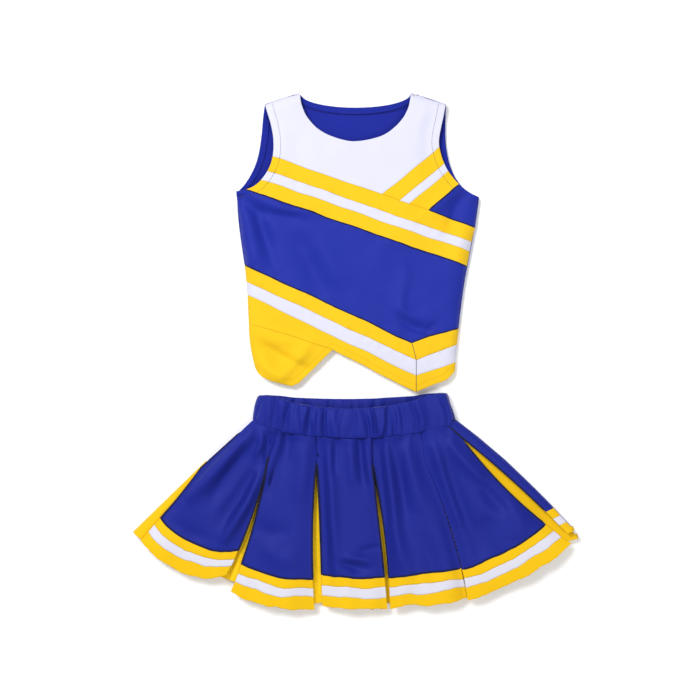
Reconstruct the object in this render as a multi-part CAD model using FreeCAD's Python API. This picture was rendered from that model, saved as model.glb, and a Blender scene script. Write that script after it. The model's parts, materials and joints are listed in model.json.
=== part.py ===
"""Two-piece cheer uniform laid flat: a sleeveless striped shell top above a box-pleated skirt.

Every cut piece of cloth is its own solid plate. The top is a back layer on the surface and a front
layer held above it by the side and shoulder seams, so the body, neck and arm openings stay open.
The skirt is an elastic waistband ring, a pleated back layer on the surface and five front pleat
panels, each hinged at the waist seam, with yellow inserts set lower between them.

Millimetres. +Z is up off the surface, +Y runs from the skirt's hem towards the neck, and the origin
is the centre of the whole footprint, on the surface.
"""

import FreeCAD, Part  # noqa: E401  the order matters to the modules

import math
import os

V = FreeCAD.Vector

# ---- cloth and layers --------------------------------------------------------------------------
CLOTH = 1.2  # thickness of one layer of cloth
FACING = 0.8  # thickness of a turned facing
TOP_LOFT = 19.0  # height of the top's front layer, over all
SKIRT_LOFT = 26.0  # height of the skirt's waistband and front panels, over all
INSERT_DEPTH = 9.0  # how far a pleat insert lies under its panels
SEAM_GAP = 0.4  # clearance along a seam between pieces that hinge or lie at different heights
PLEAT_GAP = 1.2  # clearance between two pleat panels where the pleat is stitched down

# ---- shell top: outline ------------------------------------------------------------------------
NECK_HALF = 78.0  # half the width of the neck, at the shoulder seams
NECK_LEVEL = 360.0  # height of the shoulder seams at the neck
FRONT_NECK_DROP = 69.0
BACK_NECK_DROP = 20.0
SHOULDER_HALF = 127.0  # half the width across the shoulder tips
SHOULDER_DROP = 16.0  # fall of each shoulder seam from the neck to the tip
UNDERARM_LEFT = (-166.0, 221.0)
UNDERARM_RIGHT = (173.0, 214.0)
FRONT_ARMHOLE_LEFT = [(-118.0, 314.0), (-114.5, 283.0), (-121.0, 256.0), (-138.0, 232.0)]
FRONT_ARMHOLE_RIGHT = [(120.0, 313.0), (117.0, 289.0), (124.0, 260.0), (143.0, 232.0)]
BACK_ARMHOLE_LEFT = [(-132.0, 300.0), (-138.5, 265.0), (-150.0, 240.0)]
BACK_ARMHOLE_RIGHT = [(126.0, 312.0), (127.0, 287.0), (133.0, 258.0), (149.0, 229.0)]
SIDE_LEFT = [(-159.5, 148.0), (-152.5, 98.0), (-148.0, 20.0)]
SIDE_RIGHT = [(162.0, 145.0), (151.0, 86.0), (142.5, 14.0)]
HEM_CORNER_LEFT = (-141.0, -25.0)
HEM_CORNER_RIGHT = (138.5, -30.0)
FLAP_HEM = [(-133.0, -36.0), (-110.0, -46.0), (-90.0, -51.0)]
FLAP_TIP = (-80.0, -47.0)
NOTCH = (-32.0, 0.0)
HEM_POINT = (85.0, -60.0)
HEM_RETURN = (128.0, -42.0)

# ---- shell top: stripes ------------------------------------------------------------------------
UPPER_BAND_AT = (28.7, 220.0)  # a point on the upper band's top edge
UPPER_BAND_FALL = 19.2  # degrees, down to the right
UPPER_BAND_WIDTHS = (21.5, 14.0, 20.5)
BRANCH_AT = (36.0, 216.0)  # a point on the branch's top edge
BRANCH_RISE = 39.7  # degrees, up to the right
BRANCH_WIDTHS = (22.5, 12.0, 24.0)
# The lower band's edges: height at the left side, the chevron's point, height at the right side.
LOWER_BAND_LEFT_X = -150.0
LOWER_BAND_RIGHT_X = 140.0
LOWER_BAND_EDGES = [
    (117.0, (79.0, 9.5), 29.0),
    (94.0, (85.0, -14.5), 6.0),
    (75.5, (85.0, -36.5), -17.0),
]
FLAP_SEAM = [(-145.0, 35.0), (-96.0, 22.0)]  # where the band lies on the flap, up to the notch
NECK_FACING_WIDTH = 9.0
ARMHOLE_FACING_WIDTH = 9.0
SEAM_WIDTH = 2.4  # width of the turned cloth in a side or shoulder seam
BACK_INSET = 2.0  # how far the back's hem lies inside the front's

# ---- skirt: waistband --------------------------------------------------------------------------
WAIST_TOP_LEFT = (-133.5, -64.0)
WAIST_TOP_RIGHT = (126.5, -61.0)
WAIST_END_LEFT = (-142.5, -97.0)
WAIST_END_RIGHT = (138.5, -97.0)
FRONT_TOP_DIP = 20.0  # how far the front's top edge hangs below its ends
BACK_TOP_DIP = 7.0
FRONT_SEAM_LEFT = (-124.0, -109.0)
FRONT_SEAM_RIGHT = (121.0, -107.0)
FRONT_SEAM_DIP = 16.0
BACK_SEAM_DIP = 6.0
BACK_SEAM_END = 0.1  # share of the back waist seam that runs straight at each end
WAIST_WALL = 4.0  # two layers of casing and the elastic between them
ELASTIC_THICKNESS = 1.6
ELASTIC_CLEARANCE = 0.2
CASING_EDGE = 2.6  # cloth beyond the elastic at each edge of the casing
BAND_SPARE = 40.0  # spare length at each end of the band's plan, past the loop it cuts
LOOP_ABOVE = 20.0  # spare height of the uncut loop above the band's top edge and below its seam
LOOP_BELOW = 60.0

# ---- skirt: pleats -----------------------------------------------------------------------------
# Each fold between two panels: where it meets the waist seam, the tip where the pleat opens, and for the
# panels to its left and right a point halfway down the bowed edge and the panel's hem corner.
FOLDS = [
    dict(
        waist=-142.0,
        tip=(-216.0, -165.0),
        right=(-300.0, -266.0),
        right_middle=(-254.5, -215.5),
    ),
    dict(
        waist=-109.0,
        tip=(-123.5, -159.0),
        left=(-181.0, -317.0),
        left_middle=(-147.0, -238.0),
        right=(-174.0, -338.0),
        right_middle=(-140.0, -238.0),
    ),
    dict(
        waist=-54.0,
        tip=(-54.5, -154.0),
        left=(-57.5, -363.0),
        left_middle=(-60.5, -245.0),
        right=(-46.5, -358.0),
        right_middle=(-49.5, -245.0),
    ),
    dict(
        waist=22.0,
        tip=(23.0, -160.0),
        left=(44.5, -361.0),
        left_middle=(33.5, -255.0),
        right=(48.5, -360.0),
        right_middle=(40.0, -250.0),
    ),
    dict(
        waist=91.5,
        tip=(96.5, -156.0),
        left=(155.5, -348.0),
        left_middle=(126.5, -236.0),
        right=(158.0, -349.0),
        right_middle=(129.8, -235.0),
    ),
    dict(
        waist=126.0,
        tip=(147.0, -122.0),
        left=(301.0, -271.0),
        left_middle=(206.0, -191.5),
        right=(296.0, -257.0),
        right_middle=(213.0, -177.0),
    ),
]
HEM_MIDDLES = [(-247.0, -308.0), (-118.0, -358.0), (0.0, -361.5), (106.0, -355.0), (236.0, -316.0)]
SIDE_PANEL_OUTER = [(170.0, -121.5), (209.5, -155.0), (244.0, -188.0), (272.0, -216.0)]
SIDE_PANEL_HEM = (306.0, -252.5)
SIDE_PANEL_DROP = 12.0  # how much lower the back's right hem corner lies
LEFT_FOLD_START = (6.0, 8.0)  # where the first insert comes out, right of and above its panel's tip
LEFT_FOLD_TAIL = (12.0, 9.6)  # how far it shows past its panel at the hem, to the left and up
INSERT_TUCK_TOP = 12.0  # how far an insert reaches under each panel, at the waist seam and at the hem
INSERT_TUCK_HEM = 24.0
LAST_INSERT_START = 3.25  # how far the last insert starts inside the waistband's right end
LAST_INSERT_TUCK = (30.0, 4.0)  # how far its hem reaches under the last panel, to the left and down
LAST_INSERT_TAIL = (6.5, 12.5)  # how far its hem shows past the side panel, to the right and down
LAST_INSERT_RISE = (3.0, 8.0)  # how far it reaches under the side panel's hem, to the right and up
INSERT_HEM_RISE = 5.0  # how much higher an insert's hem lies than its panels' hems
HEM_WIDTHS = (16.5, 13.0, 14.0)  # bottom yellow, white, top yellow
BACK_SCALE = 0.985  # size of the back's fan against the front's
BACK_GATHER = 0.3  # how far a back panel moves in from its middle to the waist seam, as a share
BACK_INSERT_RISE = 4.8  # how much higher than the back's hem its inserts end
WALL_INWARD = 2.4  # thickness of a standing side strip, across the skirt and up it
WALL_UPWARD = 1.2

CRUMB = 1.0  # volume of a cutting leftover, in cubic millimetres
NO_TURN = 1e-6  # the least turn of an arc, in square millimetres
NOTCH_STEP = 1.0  # how far past the notch the band's lower edge leaves the hem
TALL = 200.0  # height of a cutting prism, more than any layer
FAR = 900.0  # length of a cutting region, more than the garment


# ---- helpers -----------------------------------------------------------------------------------
def at(point, z=0.0):
    """A plan point as a vector."""
    return V(point[0], point[1], z)


def line(a, b):
    """A straight edge."""
    return Part.LineSegment(at(a), at(b)).toShape()


def curve(points):
    """A smooth edge through the points."""
    spline = Part.BSplineCurve()
    spline.interpolate([at(p) for p in points])
    return spline.toShape()


def arc(a, middle, b):
    """An arc through three points, or the straight edge when they are in line."""
    turn = (middle[0] - a[0]) * (b[1] - a[1]) - (middle[1] - a[1]) * (b[0] - a[0])
    if abs(turn) < NO_TURN:
        return line(a, b)
    return Part.Arc(at(a), at(middle), at(b)).toShape()


def polygon(points):
    """A flat face with straight edges."""
    corners = [at(p) for p in points]
    return Part.Face(Part.makePolygon(corners + corners[:1]))


def face(edges):
    """A flat face inside a closed run of edges."""
    return Part.Face(Part.Wire(Part.__sortEdges__(edges)))


def slab(flat, bottom, thickness=CLOTH):
    """A plate of the given thickness standing on the height bottom."""
    return flat.translated(V(0, 0, bottom)).extrude(V(0, 0, thickness))


def cutter(flat):
    """A prism through every layer."""
    return slab(flat, -TALL / 2, TALL)


def box(x0, x1, y0, y1):
    """A prism through every layer over a plan rectangle."""
    return cutter(polygon([(x0, y0), (x1, y0), (x1, y1), (x0, y1)]))


def lifted(point, rise):
    """A plan point moved towards the neck."""
    return (point[0], point[1] + rise)


def across(point, away, distance):
    """A plan point moved sideways: -1 is left and 1 is right."""
    return (point[0] + away * distance, point[1])


def under(points):
    """Everything below a long polyline that runs from left to right."""
    return cutter(polygon(points + [(points[-1][0], -3 * FAR), (points[0][0], -3 * FAR)]))


def lerp(a, b, t):
    """The plan point a share t of the way from a to b."""
    return (a[0] + (b[0] - a[0]) * t, a[1] + (b[1] - a[1]) * t)


def extended(points):
    """A left-to-right polyline with its end runs carried far past the garment."""
    out = list(points)
    for end, inner in ((0, 1), (-1, -2)):
        dx, dy = out[end][0] - out[inner][0], out[end][1] - out[inner][1]
        share = FAR / math.hypot(dx, dy)
        far = (out[end][0] + dx * share, out[end][1] + dy * share)
        out = [far] + out if end == 0 else out + [far]
    return out


def tilted(point, degrees, offset):
    """A long straight line at an angle, moved down across itself by offset."""
    c, s = math.cos(math.radians(degrees)), math.sin(math.radians(degrees))
    x, y = point[0] + s * offset, point[1] - c * offset
    return [(x - c * FAR, y - s * FAR), (x + c * FAR, y + s * FAR)]


def cumulative(widths):
    """0 and the running totals of the widths."""
    sums = [0.0]
    for width in widths:
        sums.append(sums[-1] + width)
    return sums


# ---- shell top ---------------------------------------------------------------------------------
def scoop(half, drop):
    """The ellipse of a neckline: half its width, and its depth below the shoulder seams."""
    centre, side, foot = at((0, NECK_LEVEL)), at((half, NECK_LEVEL)), at((0, NECK_LEVEL - drop))
    return Part.Ellipse(side, foot, centre) if drop < half else Part.Ellipse(foot, side, centre)


def top_outline(neck_drop, armhole_left, armhole_right, inset=0.0):
    """The plan of one layer of the top; inset lifts its hem."""
    neck_left, neck_right = (-NECK_HALF, NECK_LEVEL), (NECK_HALF, NECK_LEVEL)
    tip_left = (-SHOULDER_HALF, NECK_LEVEL - SHOULDER_DROP)
    tip_right = (SHOULDER_HALF, NECK_LEVEL - SHOULDER_DROP)
    corner_left, corner_right = lifted(HEM_CORNER_LEFT, inset), lifted(HEM_CORNER_RIGHT, inset)
    flap = [lifted(p, inset) for p in FLAP_HEM + [FLAP_TIP]]
    notch, point, back_up = (lifted(p, inset) for p in (NOTCH, HEM_POINT, HEM_RETURN))
    ellipse = scoop(NECK_HALF, neck_drop)
    low = ellipse.parameter(at((0, NECK_LEVEL - neck_drop)))
    neck = Part.ArcOfEllipse(ellipse, low - math.pi / 2, low + math.pi / 2).toShape()
    return face(
        [
            neck,
            line(neck_right, tip_right),
            curve([tip_right] + armhole_right + [UNDERARM_RIGHT]),
            curve([UNDERARM_RIGHT] + SIDE_RIGHT + [corner_right]),
            line(corner_right, back_up),
            line(back_up, point),
            line(point, notch),
            line(notch, flap[-1]),
            line(flap[-1], flap[-2]),
            curve([corner_left] + flap[:-1]),
            curve([UNDERARM_LEFT] + SIDE_LEFT + [corner_left]),
            curve([tip_left] + armhole_left + [UNDERARM_LEFT]),
            line(tip_left, neck_left),
        ]
    )


def lower_band_lines():
    """The lower band's edges from its top down, each a long polyline with a chevron point."""
    lines = []
    for left, point, right in LOWER_BAND_EDGES:
        lines.append(extended([(LOWER_BAND_LEFT_X, left), point, (LOWER_BAND_RIGHT_X, right)]))
    return lines


def bottom_of_band(lift):
    """The edge under the lowest stripe: over the flap, to the notch, then outside the hem."""
    notch = lifted(NOTCH, lift)
    return extended(FLAP_SEAM + [notch])[:-1] + [(notch[0] + NOTCH_STEP, -2 * FAR), (FAR, -2 * FAR)]


def shared_out(plate, lines):
    """Cuts a plate along lines listed from the top down, and gives its pieces from the top down."""
    pieces = []
    for edge in lines:
        below = under(edge)
        pieces.append(plate.cut(below))
        plate = plate.common(below)
    return pieces + [plate]


def striped_front(bottom):
    """The pieces of the top's front layer, by name."""
    plate = slab(top_outline(FRONT_NECK_DROP, FRONT_ARMHOLE_LEFT, FRONT_ARMHOLE_RIGHT), bottom)
    upper = [tilted(UPPER_BAND_AT, -UPPER_BAND_FALL, d) for d in cumulative(UPPER_BAND_WIDTHS)]
    branch = [tilted(BRANCH_AT, BRANCH_RISE, d) for d in cumulative(BRANCH_WIDTHS)]
    lines = upper + lower_band_lines() + [bottom_of_band(0.0)]
    chest, top, white, low, body, band_top, band_white, band_low, flap = shared_out(plate, lines)
    fork = box(UPPER_BAND_AT[0] - sum(BRANCH_WIDTHS), FAR, -FAR, FAR)
    yoke, branch_top, branch_white, branch_low, underarm = shared_out(chest.common(fork), branch)
    return {
        "front_yoke": chest.cut(fork).fuse(yoke).removeSplitter(),
        "branch_top_stripe": branch_top,
        "branch_white_stripe": branch_white,
        "branch_bottom_stripe": branch_low,
        "front_underarm_panel": underarm,
        "upper_band_top_stripe": top,
        "upper_band_white_stripe": white,
        "upper_band_bottom_stripe": low,
        "front_body_panel": body,
        "lower_band_top_stripe": band_top,
        "lower_band_white_stripe": band_white,
        "lower_band_bottom_stripe": band_low,
        "front_hem_flap": flap,
    }


def striped_back(bottom):
    """The pieces of the top's back layer: a plain panel over the same lower band."""
    plate = slab(top_outline(BACK_NECK_DROP, BACK_ARMHOLE_LEFT, BACK_ARMHOLE_RIGHT, BACK_INSET), bottom)
    body, top, white, low, flap = shared_out(plate, lower_band_lines() + [bottom_of_band(BACK_INSET)])
    return {
        "back_body_panel": body,
        "back_band_top_stripe": top,
        "back_band_white_stripe": white,
        "back_band_bottom_stripe": low,
        "back_hem_flap": flap,
    }


def side_strip(plan_plate, inward, width, y0, y1, x0=-FAR, x1=FAR):
    """What a layer leaves uncovered when it is moved inward: a strip along that side, between two heights."""
    shifted = plan_plate.translated(V(inward[0] * width, inward[1] * width, 0))
    return plan_plate.cut(shifted).common(box(x0, x1, y0, y1))


def top_seams(front_plan, gap_bottom, gap_height):
    """Side and shoulder seams: narrow walls that join the two layers."""
    column = slab(front_plan, gap_bottom, gap_height)
    side_low = HEM_CORNER_RIGHT[1] + BACK_INSET + SEAM_WIDTH
    shoulder_low = NECK_LEVEL - SHOULDER_DROP - SEAM_WIDTH
    left = side_strip(column, (1, 0), SEAM_WIDTH, side_low, UNDERARM_LEFT[1] - SEAM_WIDTH, x1=-NECK_HALF)
    right = side_strip(column, (-1, 0), SEAM_WIDTH, side_low, UNDERARM_RIGHT[1] - SEAM_WIDTH, x0=NECK_HALF)
    inner, outer = NECK_HALF + SEAM_WIDTH, SHOULDER_HALF - SEAM_WIDTH
    return {
        "side_seam_left": left,
        "side_seam_right": right,
        "shoulder_seam_left": side_strip(column, (0, -1), SEAM_WIDTH, shoulder_low, FAR, -outer, -inner),
        "shoulder_seam_right": side_strip(column, (0, -1), SEAM_WIDTH, shoulder_low, FAR, inner, outer),
    }


def neck_facing(plan, drop, z):
    """A turned strip round one layer's neckline."""
    ring = scoop(NECK_HALF + NECK_FACING_WIDTH, drop + NECK_FACING_WIDTH)
    disc = cutter(Part.Face(Part.Wire([ring.toShape()])))
    below_shoulder = box(-NECK_HALF, NECK_HALF, 0, NECK_LEVEL - SEAM_WIDTH - SHOULDER_DROP / 4)
    return slab(plan, z, FACING).common(disc).common(below_shoulder)


def armhole_facing(plan, side, z):
    """A turned strip along one armhole of one layer; side is -1 for the left and 1 for the right."""
    under = UNDERARM_LEFT if side < 0 else UNDERARM_RIGHT
    low = under[1] + SEAM_WIDTH
    high = NECK_LEVEL - SHOULDER_DROP - SEAM_WIDTH * 2
    strip = side_strip(slab(plan, z, FACING), (-side, 0), ARMHOLE_FACING_WIDTH, low, high)
    half = box(-FAR, -NECK_HALF, -FAR, FAR) if side < 0 else box(NECK_HALF, FAR, -FAR, FAR)
    return strip.common(half)


def build_top():
    """Every piece of the shell top, by name."""
    front_bottom = TOP_LOFT - CLOTH
    pieces = striped_front(front_bottom)
    pieces.update(striped_back(0.0))
    front_plan = top_outline(FRONT_NECK_DROP, FRONT_ARMHOLE_LEFT, FRONT_ARMHOLE_RIGHT)
    back_plan = top_outline(BACK_NECK_DROP, BACK_ARMHOLE_LEFT, BACK_ARMHOLE_RIGHT, BACK_INSET)
    pieces.update(top_seams(front_plan, CLOTH, front_bottom - CLOTH))
    under_front = front_bottom - FACING
    pieces["front_neck_facing"] = neck_facing(front_plan, FRONT_NECK_DROP, under_front)
    pieces["back_neck_facing"] = neck_facing(back_plan, BACK_NECK_DROP, CLOTH)
    for side, name in ((-1, "left"), (1, "right")):
        layers = [armhole_facing(front_plan, side, under_front), armhole_facing(back_plan, side, CLOTH)]
        pieces["armhole_facing_" + name] = Part.makeCompound(layers)
    return pieces


# ---- skirt: waistband --------------------------------------------------------------------------
def stadium(left, right, y, low, high):
    """A flattened loop in the XZ plane: two straight runs joined by half circles."""
    radius = (high - low) / 2
    middle = low + radius
    a, b = left + radius, right - radius
    edges = [
        Part.LineSegment(V(a, y, low), V(b, y, low)).toShape(),
        Part.Arc(V(b, y, low), V(right, y, middle), V(b, y, high)).toShape(),
        Part.LineSegment(V(b, y, high), V(a, y, high)).toShape(),
        Part.Arc(V(a, y, high), V(left, y, middle), V(a, y, low)).toShape(),
    ]
    return Part.Wire(edges)


def loop(inset):
    """The waistband's flattened tube, inset from its outer surface, longer than the band."""
    wires = []
    for y in (WAIST_TOP_LEFT[1] + LOOP_ABOVE, WAIST_END_LEFT[1] - LOOP_BELOW):
        t_left = (y - WAIST_TOP_LEFT[1]) / (WAIST_END_LEFT[1] - WAIST_TOP_LEFT[1])
        t_right = (y - WAIST_TOP_RIGHT[1]) / (WAIST_END_RIGHT[1] - WAIST_TOP_RIGHT[1])
        left = lerp(WAIST_TOP_LEFT, WAIST_END_LEFT, t_left)[0] + inset
        right = lerp(WAIST_TOP_RIGHT, WAIST_END_RIGHT, t_right)[0] - inset
        wires.append(stadium(left, right, y, inset, SKIRT_LOFT - inset))
    return Part.makeLoft(wires, True, True)


def dipped(a, b, dip):
    """The lowest point of an arc that hangs between a and b."""
    return lifted(lerp(a, b, 0.5), -dip)


def band_plan(top_dip, seam_points, seam_dip, trim=0.0):
    """The plan of the waistband's front or back wall; trim takes cloth off its two edges."""
    top_left, top_right = lifted(WAIST_TOP_LEFT, -trim), lifted(WAIST_TOP_RIGHT, -trim)
    end_left, start, finish, end_right = [lifted(p, trim) for p in seam_points]
    out_left, out_right = across(top_left, -1, BAND_SPARE), across(top_right, 1, BAND_SPARE)
    low_left, low_right = across(end_left, -1, BAND_SPARE), across(end_right, 1, BAND_SPARE)
    return face(
        [
            line(out_left, top_left),
            arc(top_left, dipped(top_left, top_right, top_dip), top_right),
            line(top_right, out_right),
            line(out_right, low_right),
            line(low_right, end_right),
            line(end_right, finish),
            arc(start, dipped(start, finish, seam_dip), finish),
            line(start, end_left),
            line(end_left, low_left),
            line(low_left, out_left),
        ]
    )


def front_seam_points():
    """The front waist seam's corners, left to right."""
    return [WAIST_END_LEFT, FRONT_SEAM_LEFT, FRONT_SEAM_RIGHT, WAIST_END_RIGHT]


def back_seam_points():
    """The back waist seam's corners, left to right."""
    ends = WAIST_END_LEFT, WAIST_END_RIGHT
    return [ends[0], lerp(*ends, BACK_SEAM_END), lerp(*ends, 1 - BACK_SEAM_END), ends[1]]


def trimmed_loop(tube, trim):
    """A loop of the waistband cut to its edges, front and back."""
    middle = SKIRT_LOFT / 2
    upper = slab(band_plan(FRONT_TOP_DIP, front_seam_points(), FRONT_SEAM_DIP, trim), middle, TALL)
    lower = slab(band_plan(BACK_TOP_DIP, back_seam_points(), BACK_SEAM_DIP, trim), middle - TALL, TALL)
    return tube.common(upper).fuse(tube.common(lower)).removeSplitter()


def build_waistband():
    """The gathered casing, hollow, and the elastic loop inside it."""
    skin = (WAIST_WALL - ELASTIC_THICKNESS - 2 * ELASTIC_CLEARANCE) / 2
    hollow_in = skin + ELASTIC_THICKNESS + 2 * ELASTIC_CLEARANCE
    body = loop(0.0).cut(loop(WAIST_WALL))
    channel = loop(skin).cut(loop(hollow_in))
    elastic_in = skin + ELASTIC_CLEARANCE
    elastic = loop(elastic_in).cut(loop(elastic_in + ELASTIC_THICKNESS))
    casing = trimmed_loop(body, 0.0).cut(trimmed_loop(channel, CASING_EDGE - ELASTIC_CLEARANCE))
    return {"waistband_casing": casing, "waist_elastic": trimmed_loop(elastic, CASING_EDGE)}


# ---- skirt: pleats -----------------------------------------------------------------------------
def seam_y(x):
    """Height of the front waist seam at a place across the skirt."""
    a, b = FRONT_SEAM_LEFT, FRONT_SEAM_RIGHT
    if x < a[0]:
        t = (x - WAIST_END_LEFT[0]) / (a[0] - WAIST_END_LEFT[0])
        return lerp(WAIST_END_LEFT, a, t)[1]
    if x > b[0]:
        t = (x - b[0]) / (WAIST_END_RIGHT[0] - b[0])
        return lerp(b, WAIST_END_RIGHT, t)[1]
    t = (x - a[0]) / (b[0] - a[0])
    return lerp(a, b, t)[1] - FRONT_SEAM_DIP * 4 * t * (1 - t)


def below_waist(plate, seam_points, seam_dip):
    """What a plate keeps below a waist seam, a clearance away from the waistband."""
    band = cutter(band_plan(0.0, seam_points, seam_dip))
    return plate.cut(band.translated(V(0, -SEAM_GAP, 0)))


def panel_plan(index):
    """The plan of pleat panel index, 1 to 5, with room for its folds and cloth to spare above."""
    before, after = FOLDS[index - 1], FOLDS[index]
    half = PLEAT_GAP / 2
    left_x, right_x = before["waist"] + half, after["waist"] - half
    tip_left, tip_right = across(before["tip"], 1, half), across(after["tip"], -1, half)
    top = WAIST_END_LEFT[1] - SEAM_GAP / 2
    return face(
        [
            line((left_x, top), (right_x, top)),
            line((right_x, top), (right_x, seam_y(right_x))),
            line((right_x, seam_y(right_x)), tip_right),
            arc(tip_right, after["left_middle"], after["left"]),
            arc(before["right"], HEM_MIDDLES[index - 1], after["left"]),
            arc(before["right"], before["right_middle"], tip_left),
            line(tip_left, (left_x, seam_y(left_x))),
            line((left_x, seam_y(left_x)), (left_x, top)),
        ]
    )


def toward_waist(hem_middle, waist_x):
    """Unit vector from a hem to the waist seam."""
    dx, dy = waist_x - hem_middle[0], seam_y(waist_x) - hem_middle[1]
    length = math.hypot(dx, dy)
    return dx / length, dy / length


def above_hem(hem, direction, reach):
    """Everything on the waist's side of a hem line that is moved reach towards the waist."""
    left, middle, right = [(p[0] + direction[0] * reach, p[1] + direction[1] * reach) for p in hem]
    far_left, far_right = extended([left, middle])[0], extended([middle, right])[-1]
    return cutter(
        face(
            [
                line(far_left, left),
                arc(left, middle, right),
                line(right, far_right),
                line(far_right, (far_right[0], FAR)),
                line((far_right[0], FAR), (far_left[0], FAR)),
                line((far_left[0], FAR), far_left),
            ]
        )
    )


def banded(plate, hem, direction):
    """A panel's pieces from its hem up: bottom stripe, white stripe, top stripe, cloth."""
    rest, pieces = plate, []
    for reach in cumulative(HEM_WIDTHS)[1:]:
        cover = above_hem(hem, direction, reach)
        pieces.append(rest.cut(cover))
        rest = rest.common(cover)
    return pieces + [rest]


def stretched(plate):
    """The plate made taller in Z, so that it cuts cleanly."""
    box_of = plate.BoundBox
    bottom = [f for f in plate.Faces if abs(f.BoundBox.ZMax - box_of.ZMin) < 1e-6][0]
    return bottom.translated(V(0, 0, -TALL / 2)).extrude(V(0, 0, TALL))


def insert_plan(fold, hem_left, hem_right):
    """The plan of the insert under one opening, from above the waist seam to the hem."""
    top = (fold["waist"], WAIST_END_LEFT[1])
    low_left = (hem_left[0] - INSERT_TUCK_HEM, hem_left[1] + INSERT_HEM_RISE)
    low_right = (hem_right[0] + INSERT_TUCK_HEM, hem_right[1] + INSERT_HEM_RISE)
    return polygon([across(top, -1, INSERT_TUCK_TOP), low_left, low_right, across(top, 1, INSERT_TUCK_TOP)])


def left_fold_plan():
    """The first insert, which shows past the first panel down the skirt's left side."""
    tip, hem = FOLDS[0]["tip"], FOLDS[0]["right"]
    start = (tip[0] + LEFT_FOLD_START[0], tip[1] + LEFT_FOLD_START[1])
    outer = (hem[0] - LEFT_FOLD_TAIL[0], hem[1] + LEFT_FOLD_TAIL[1])
    return polygon([start, outer, hem, across(hem, 1, INSERT_TUCK_HEM), across(tip, 1, INSERT_TUCK_HEM)])


def last_insert_plan():
    """The insert between the last panel and the side panel, whose hem shows past both."""
    fold = FOLDS[-1]
    left, right = fold["left"], fold["right"]
    top = WAIST_END_LEFT[1] - SEAM_GAP
    return polygon(
        [
            across((fold["waist"], top), -1, INSERT_TUCK_TOP),
            (left[0] - LAST_INSERT_TUCK[0], left[1] - LAST_INSERT_TUCK[1]),
            (SIDE_PANEL_HEM[0] + LAST_INSERT_TAIL[0], SIDE_PANEL_HEM[1] - LAST_INSERT_TAIL[1]),
            (right[0] + LAST_INSERT_RISE[0], right[1] + LAST_INSERT_RISE[1]),
            (WAIST_END_RIGHT[0] - LAST_INSERT_START, top),
        ]
    )


def side_panel_plan():
    """The blue panel that comes round the skirt's right side from the back."""
    fold = FOLDS[-1]
    half = PLEAT_GAP / 2
    start = (fold["waist"] + half, seam_y(fold["waist"] + half) - SEAM_GAP)
    end = (WAIST_END_RIGHT[0], WAIST_END_RIGHT[1] - SEAM_GAP)
    tip = across(fold["tip"], 1, half)
    points = [tip, start, end] + SIDE_PANEL_OUTER + [SIDE_PANEL_HEM, fold["right"]]
    sides = [line(a, b) for a, b in zip(points, points[1:])]
    return face(sides + [arc(fold["right"], fold["right_middle"], tip)])


def wall(points, bottom, top):
    """A standing strip of cloth along a run of plan points, on the inside of them."""
    inner = [(p[0] - math.copysign(WALL_INWARD, p[0]), p[1] + WALL_UPWARD) for p in points]
    return slab(polygon(points + inner[::-1]), bottom, top - bottom)


def back_hem():
    """The back layer's hem line: its left corner, its middle and its right corner."""
    left, right = FOLDS[0]["right"], (SIDE_PANEL_HEM[0], SIDE_PANEL_HEM[1] - SIDE_PANEL_DROP)
    return [(p[0] * BACK_SCALE, p[1] * BACK_SCALE) for p in (left, (0.0, HEM_MIDDLES[2][1]), right)]


def back_plan():
    """The plan of the whole back layer, a fan a little smaller than the front."""
    left, middle, right = back_hem()
    start, finish = back_seam_points()[1], back_seam_points()[2]
    low = dipped(start, finish, BACK_SEAM_DIP)
    seam = [lifted(p, -SEAM_GAP) for p in (WAIST_END_LEFT, start, low, finish, WAIST_END_RIGHT)]
    return face(
        [
            line(seam[0], seam[1]),
            arc(seam[1], seam[2], seam[3]),
            line(seam[3], seam[4]),
            line(seam[4], right),
            arc(left, middle, right),
            line(left, seam[0]),
        ]
    )


def back_folds():
    """The back's folds as straight cuts from the waist to the hem, left to right."""
    cuts = []
    for fold in FOLDS[1:-1]:
        hem = lerp(fold["left"], fold["right"], 0.5)
        cuts.append([(fold["waist"], WAIST_END_LEFT[1]), (hem[0] * BACK_SCALE, hem[1])])
    return cuts


def back_wedge(left, right):
    """The room for one back panel between the cuts on its left and its right."""
    half = PLEAT_GAP / 2
    a, b = extended(left), extended(right)
    corners = [across(a[0], 1, half), across(b[0], -1, half), across(b[-1], -1, half), across(a[-1], 1, half)]
    return cutter(polygon(corners))


def build_back():
    """The pleated back layer: panels, their hem stripes and the inserts inside them."""
    plate = slab(back_plan(), 0.0)
    edges = [[(-FAR, 0.0), (-FAR, -FAR)]] + back_folds() + [[(FAR, 0.0), (FAR, -FAR)]]
    groups = {"back_hem_bottom": [], "back_hem_white": [], "back_hem_top": [], "skirt_back_panels": []}
    inserts = []
    for left, right in zip(edges, edges[1:]):
        panel = plate.common(back_wedge(left, right)).Solids[0]
        centre = panel.CenterOfMass
        direction = toward_waist((centre.x, centre.y), centre.x * BACK_GATHER)
        for name, strip in zip(groups, banded(panel, back_hem(), direction)):
            groups[name].append(strip)
    for fold in FOLDS[1:-1]:
        hem = lifted(lerp(fold["left"], fold["right"], 0.5), BACK_INSERT_RISE)
        layer = slab(insert_plan(fold, hem, hem), CLOTH + 2 * SEAM_GAP)
        inserts.append(below_waist(layer, back_seam_points(), BACK_SEAM_DIP))
    pieces = {name: Part.makeCompound(strips) for name, strips in groups.items()}
    pieces["skirt_back_inserts"] = Part.makeCompound(inserts)
    return pieces


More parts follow.
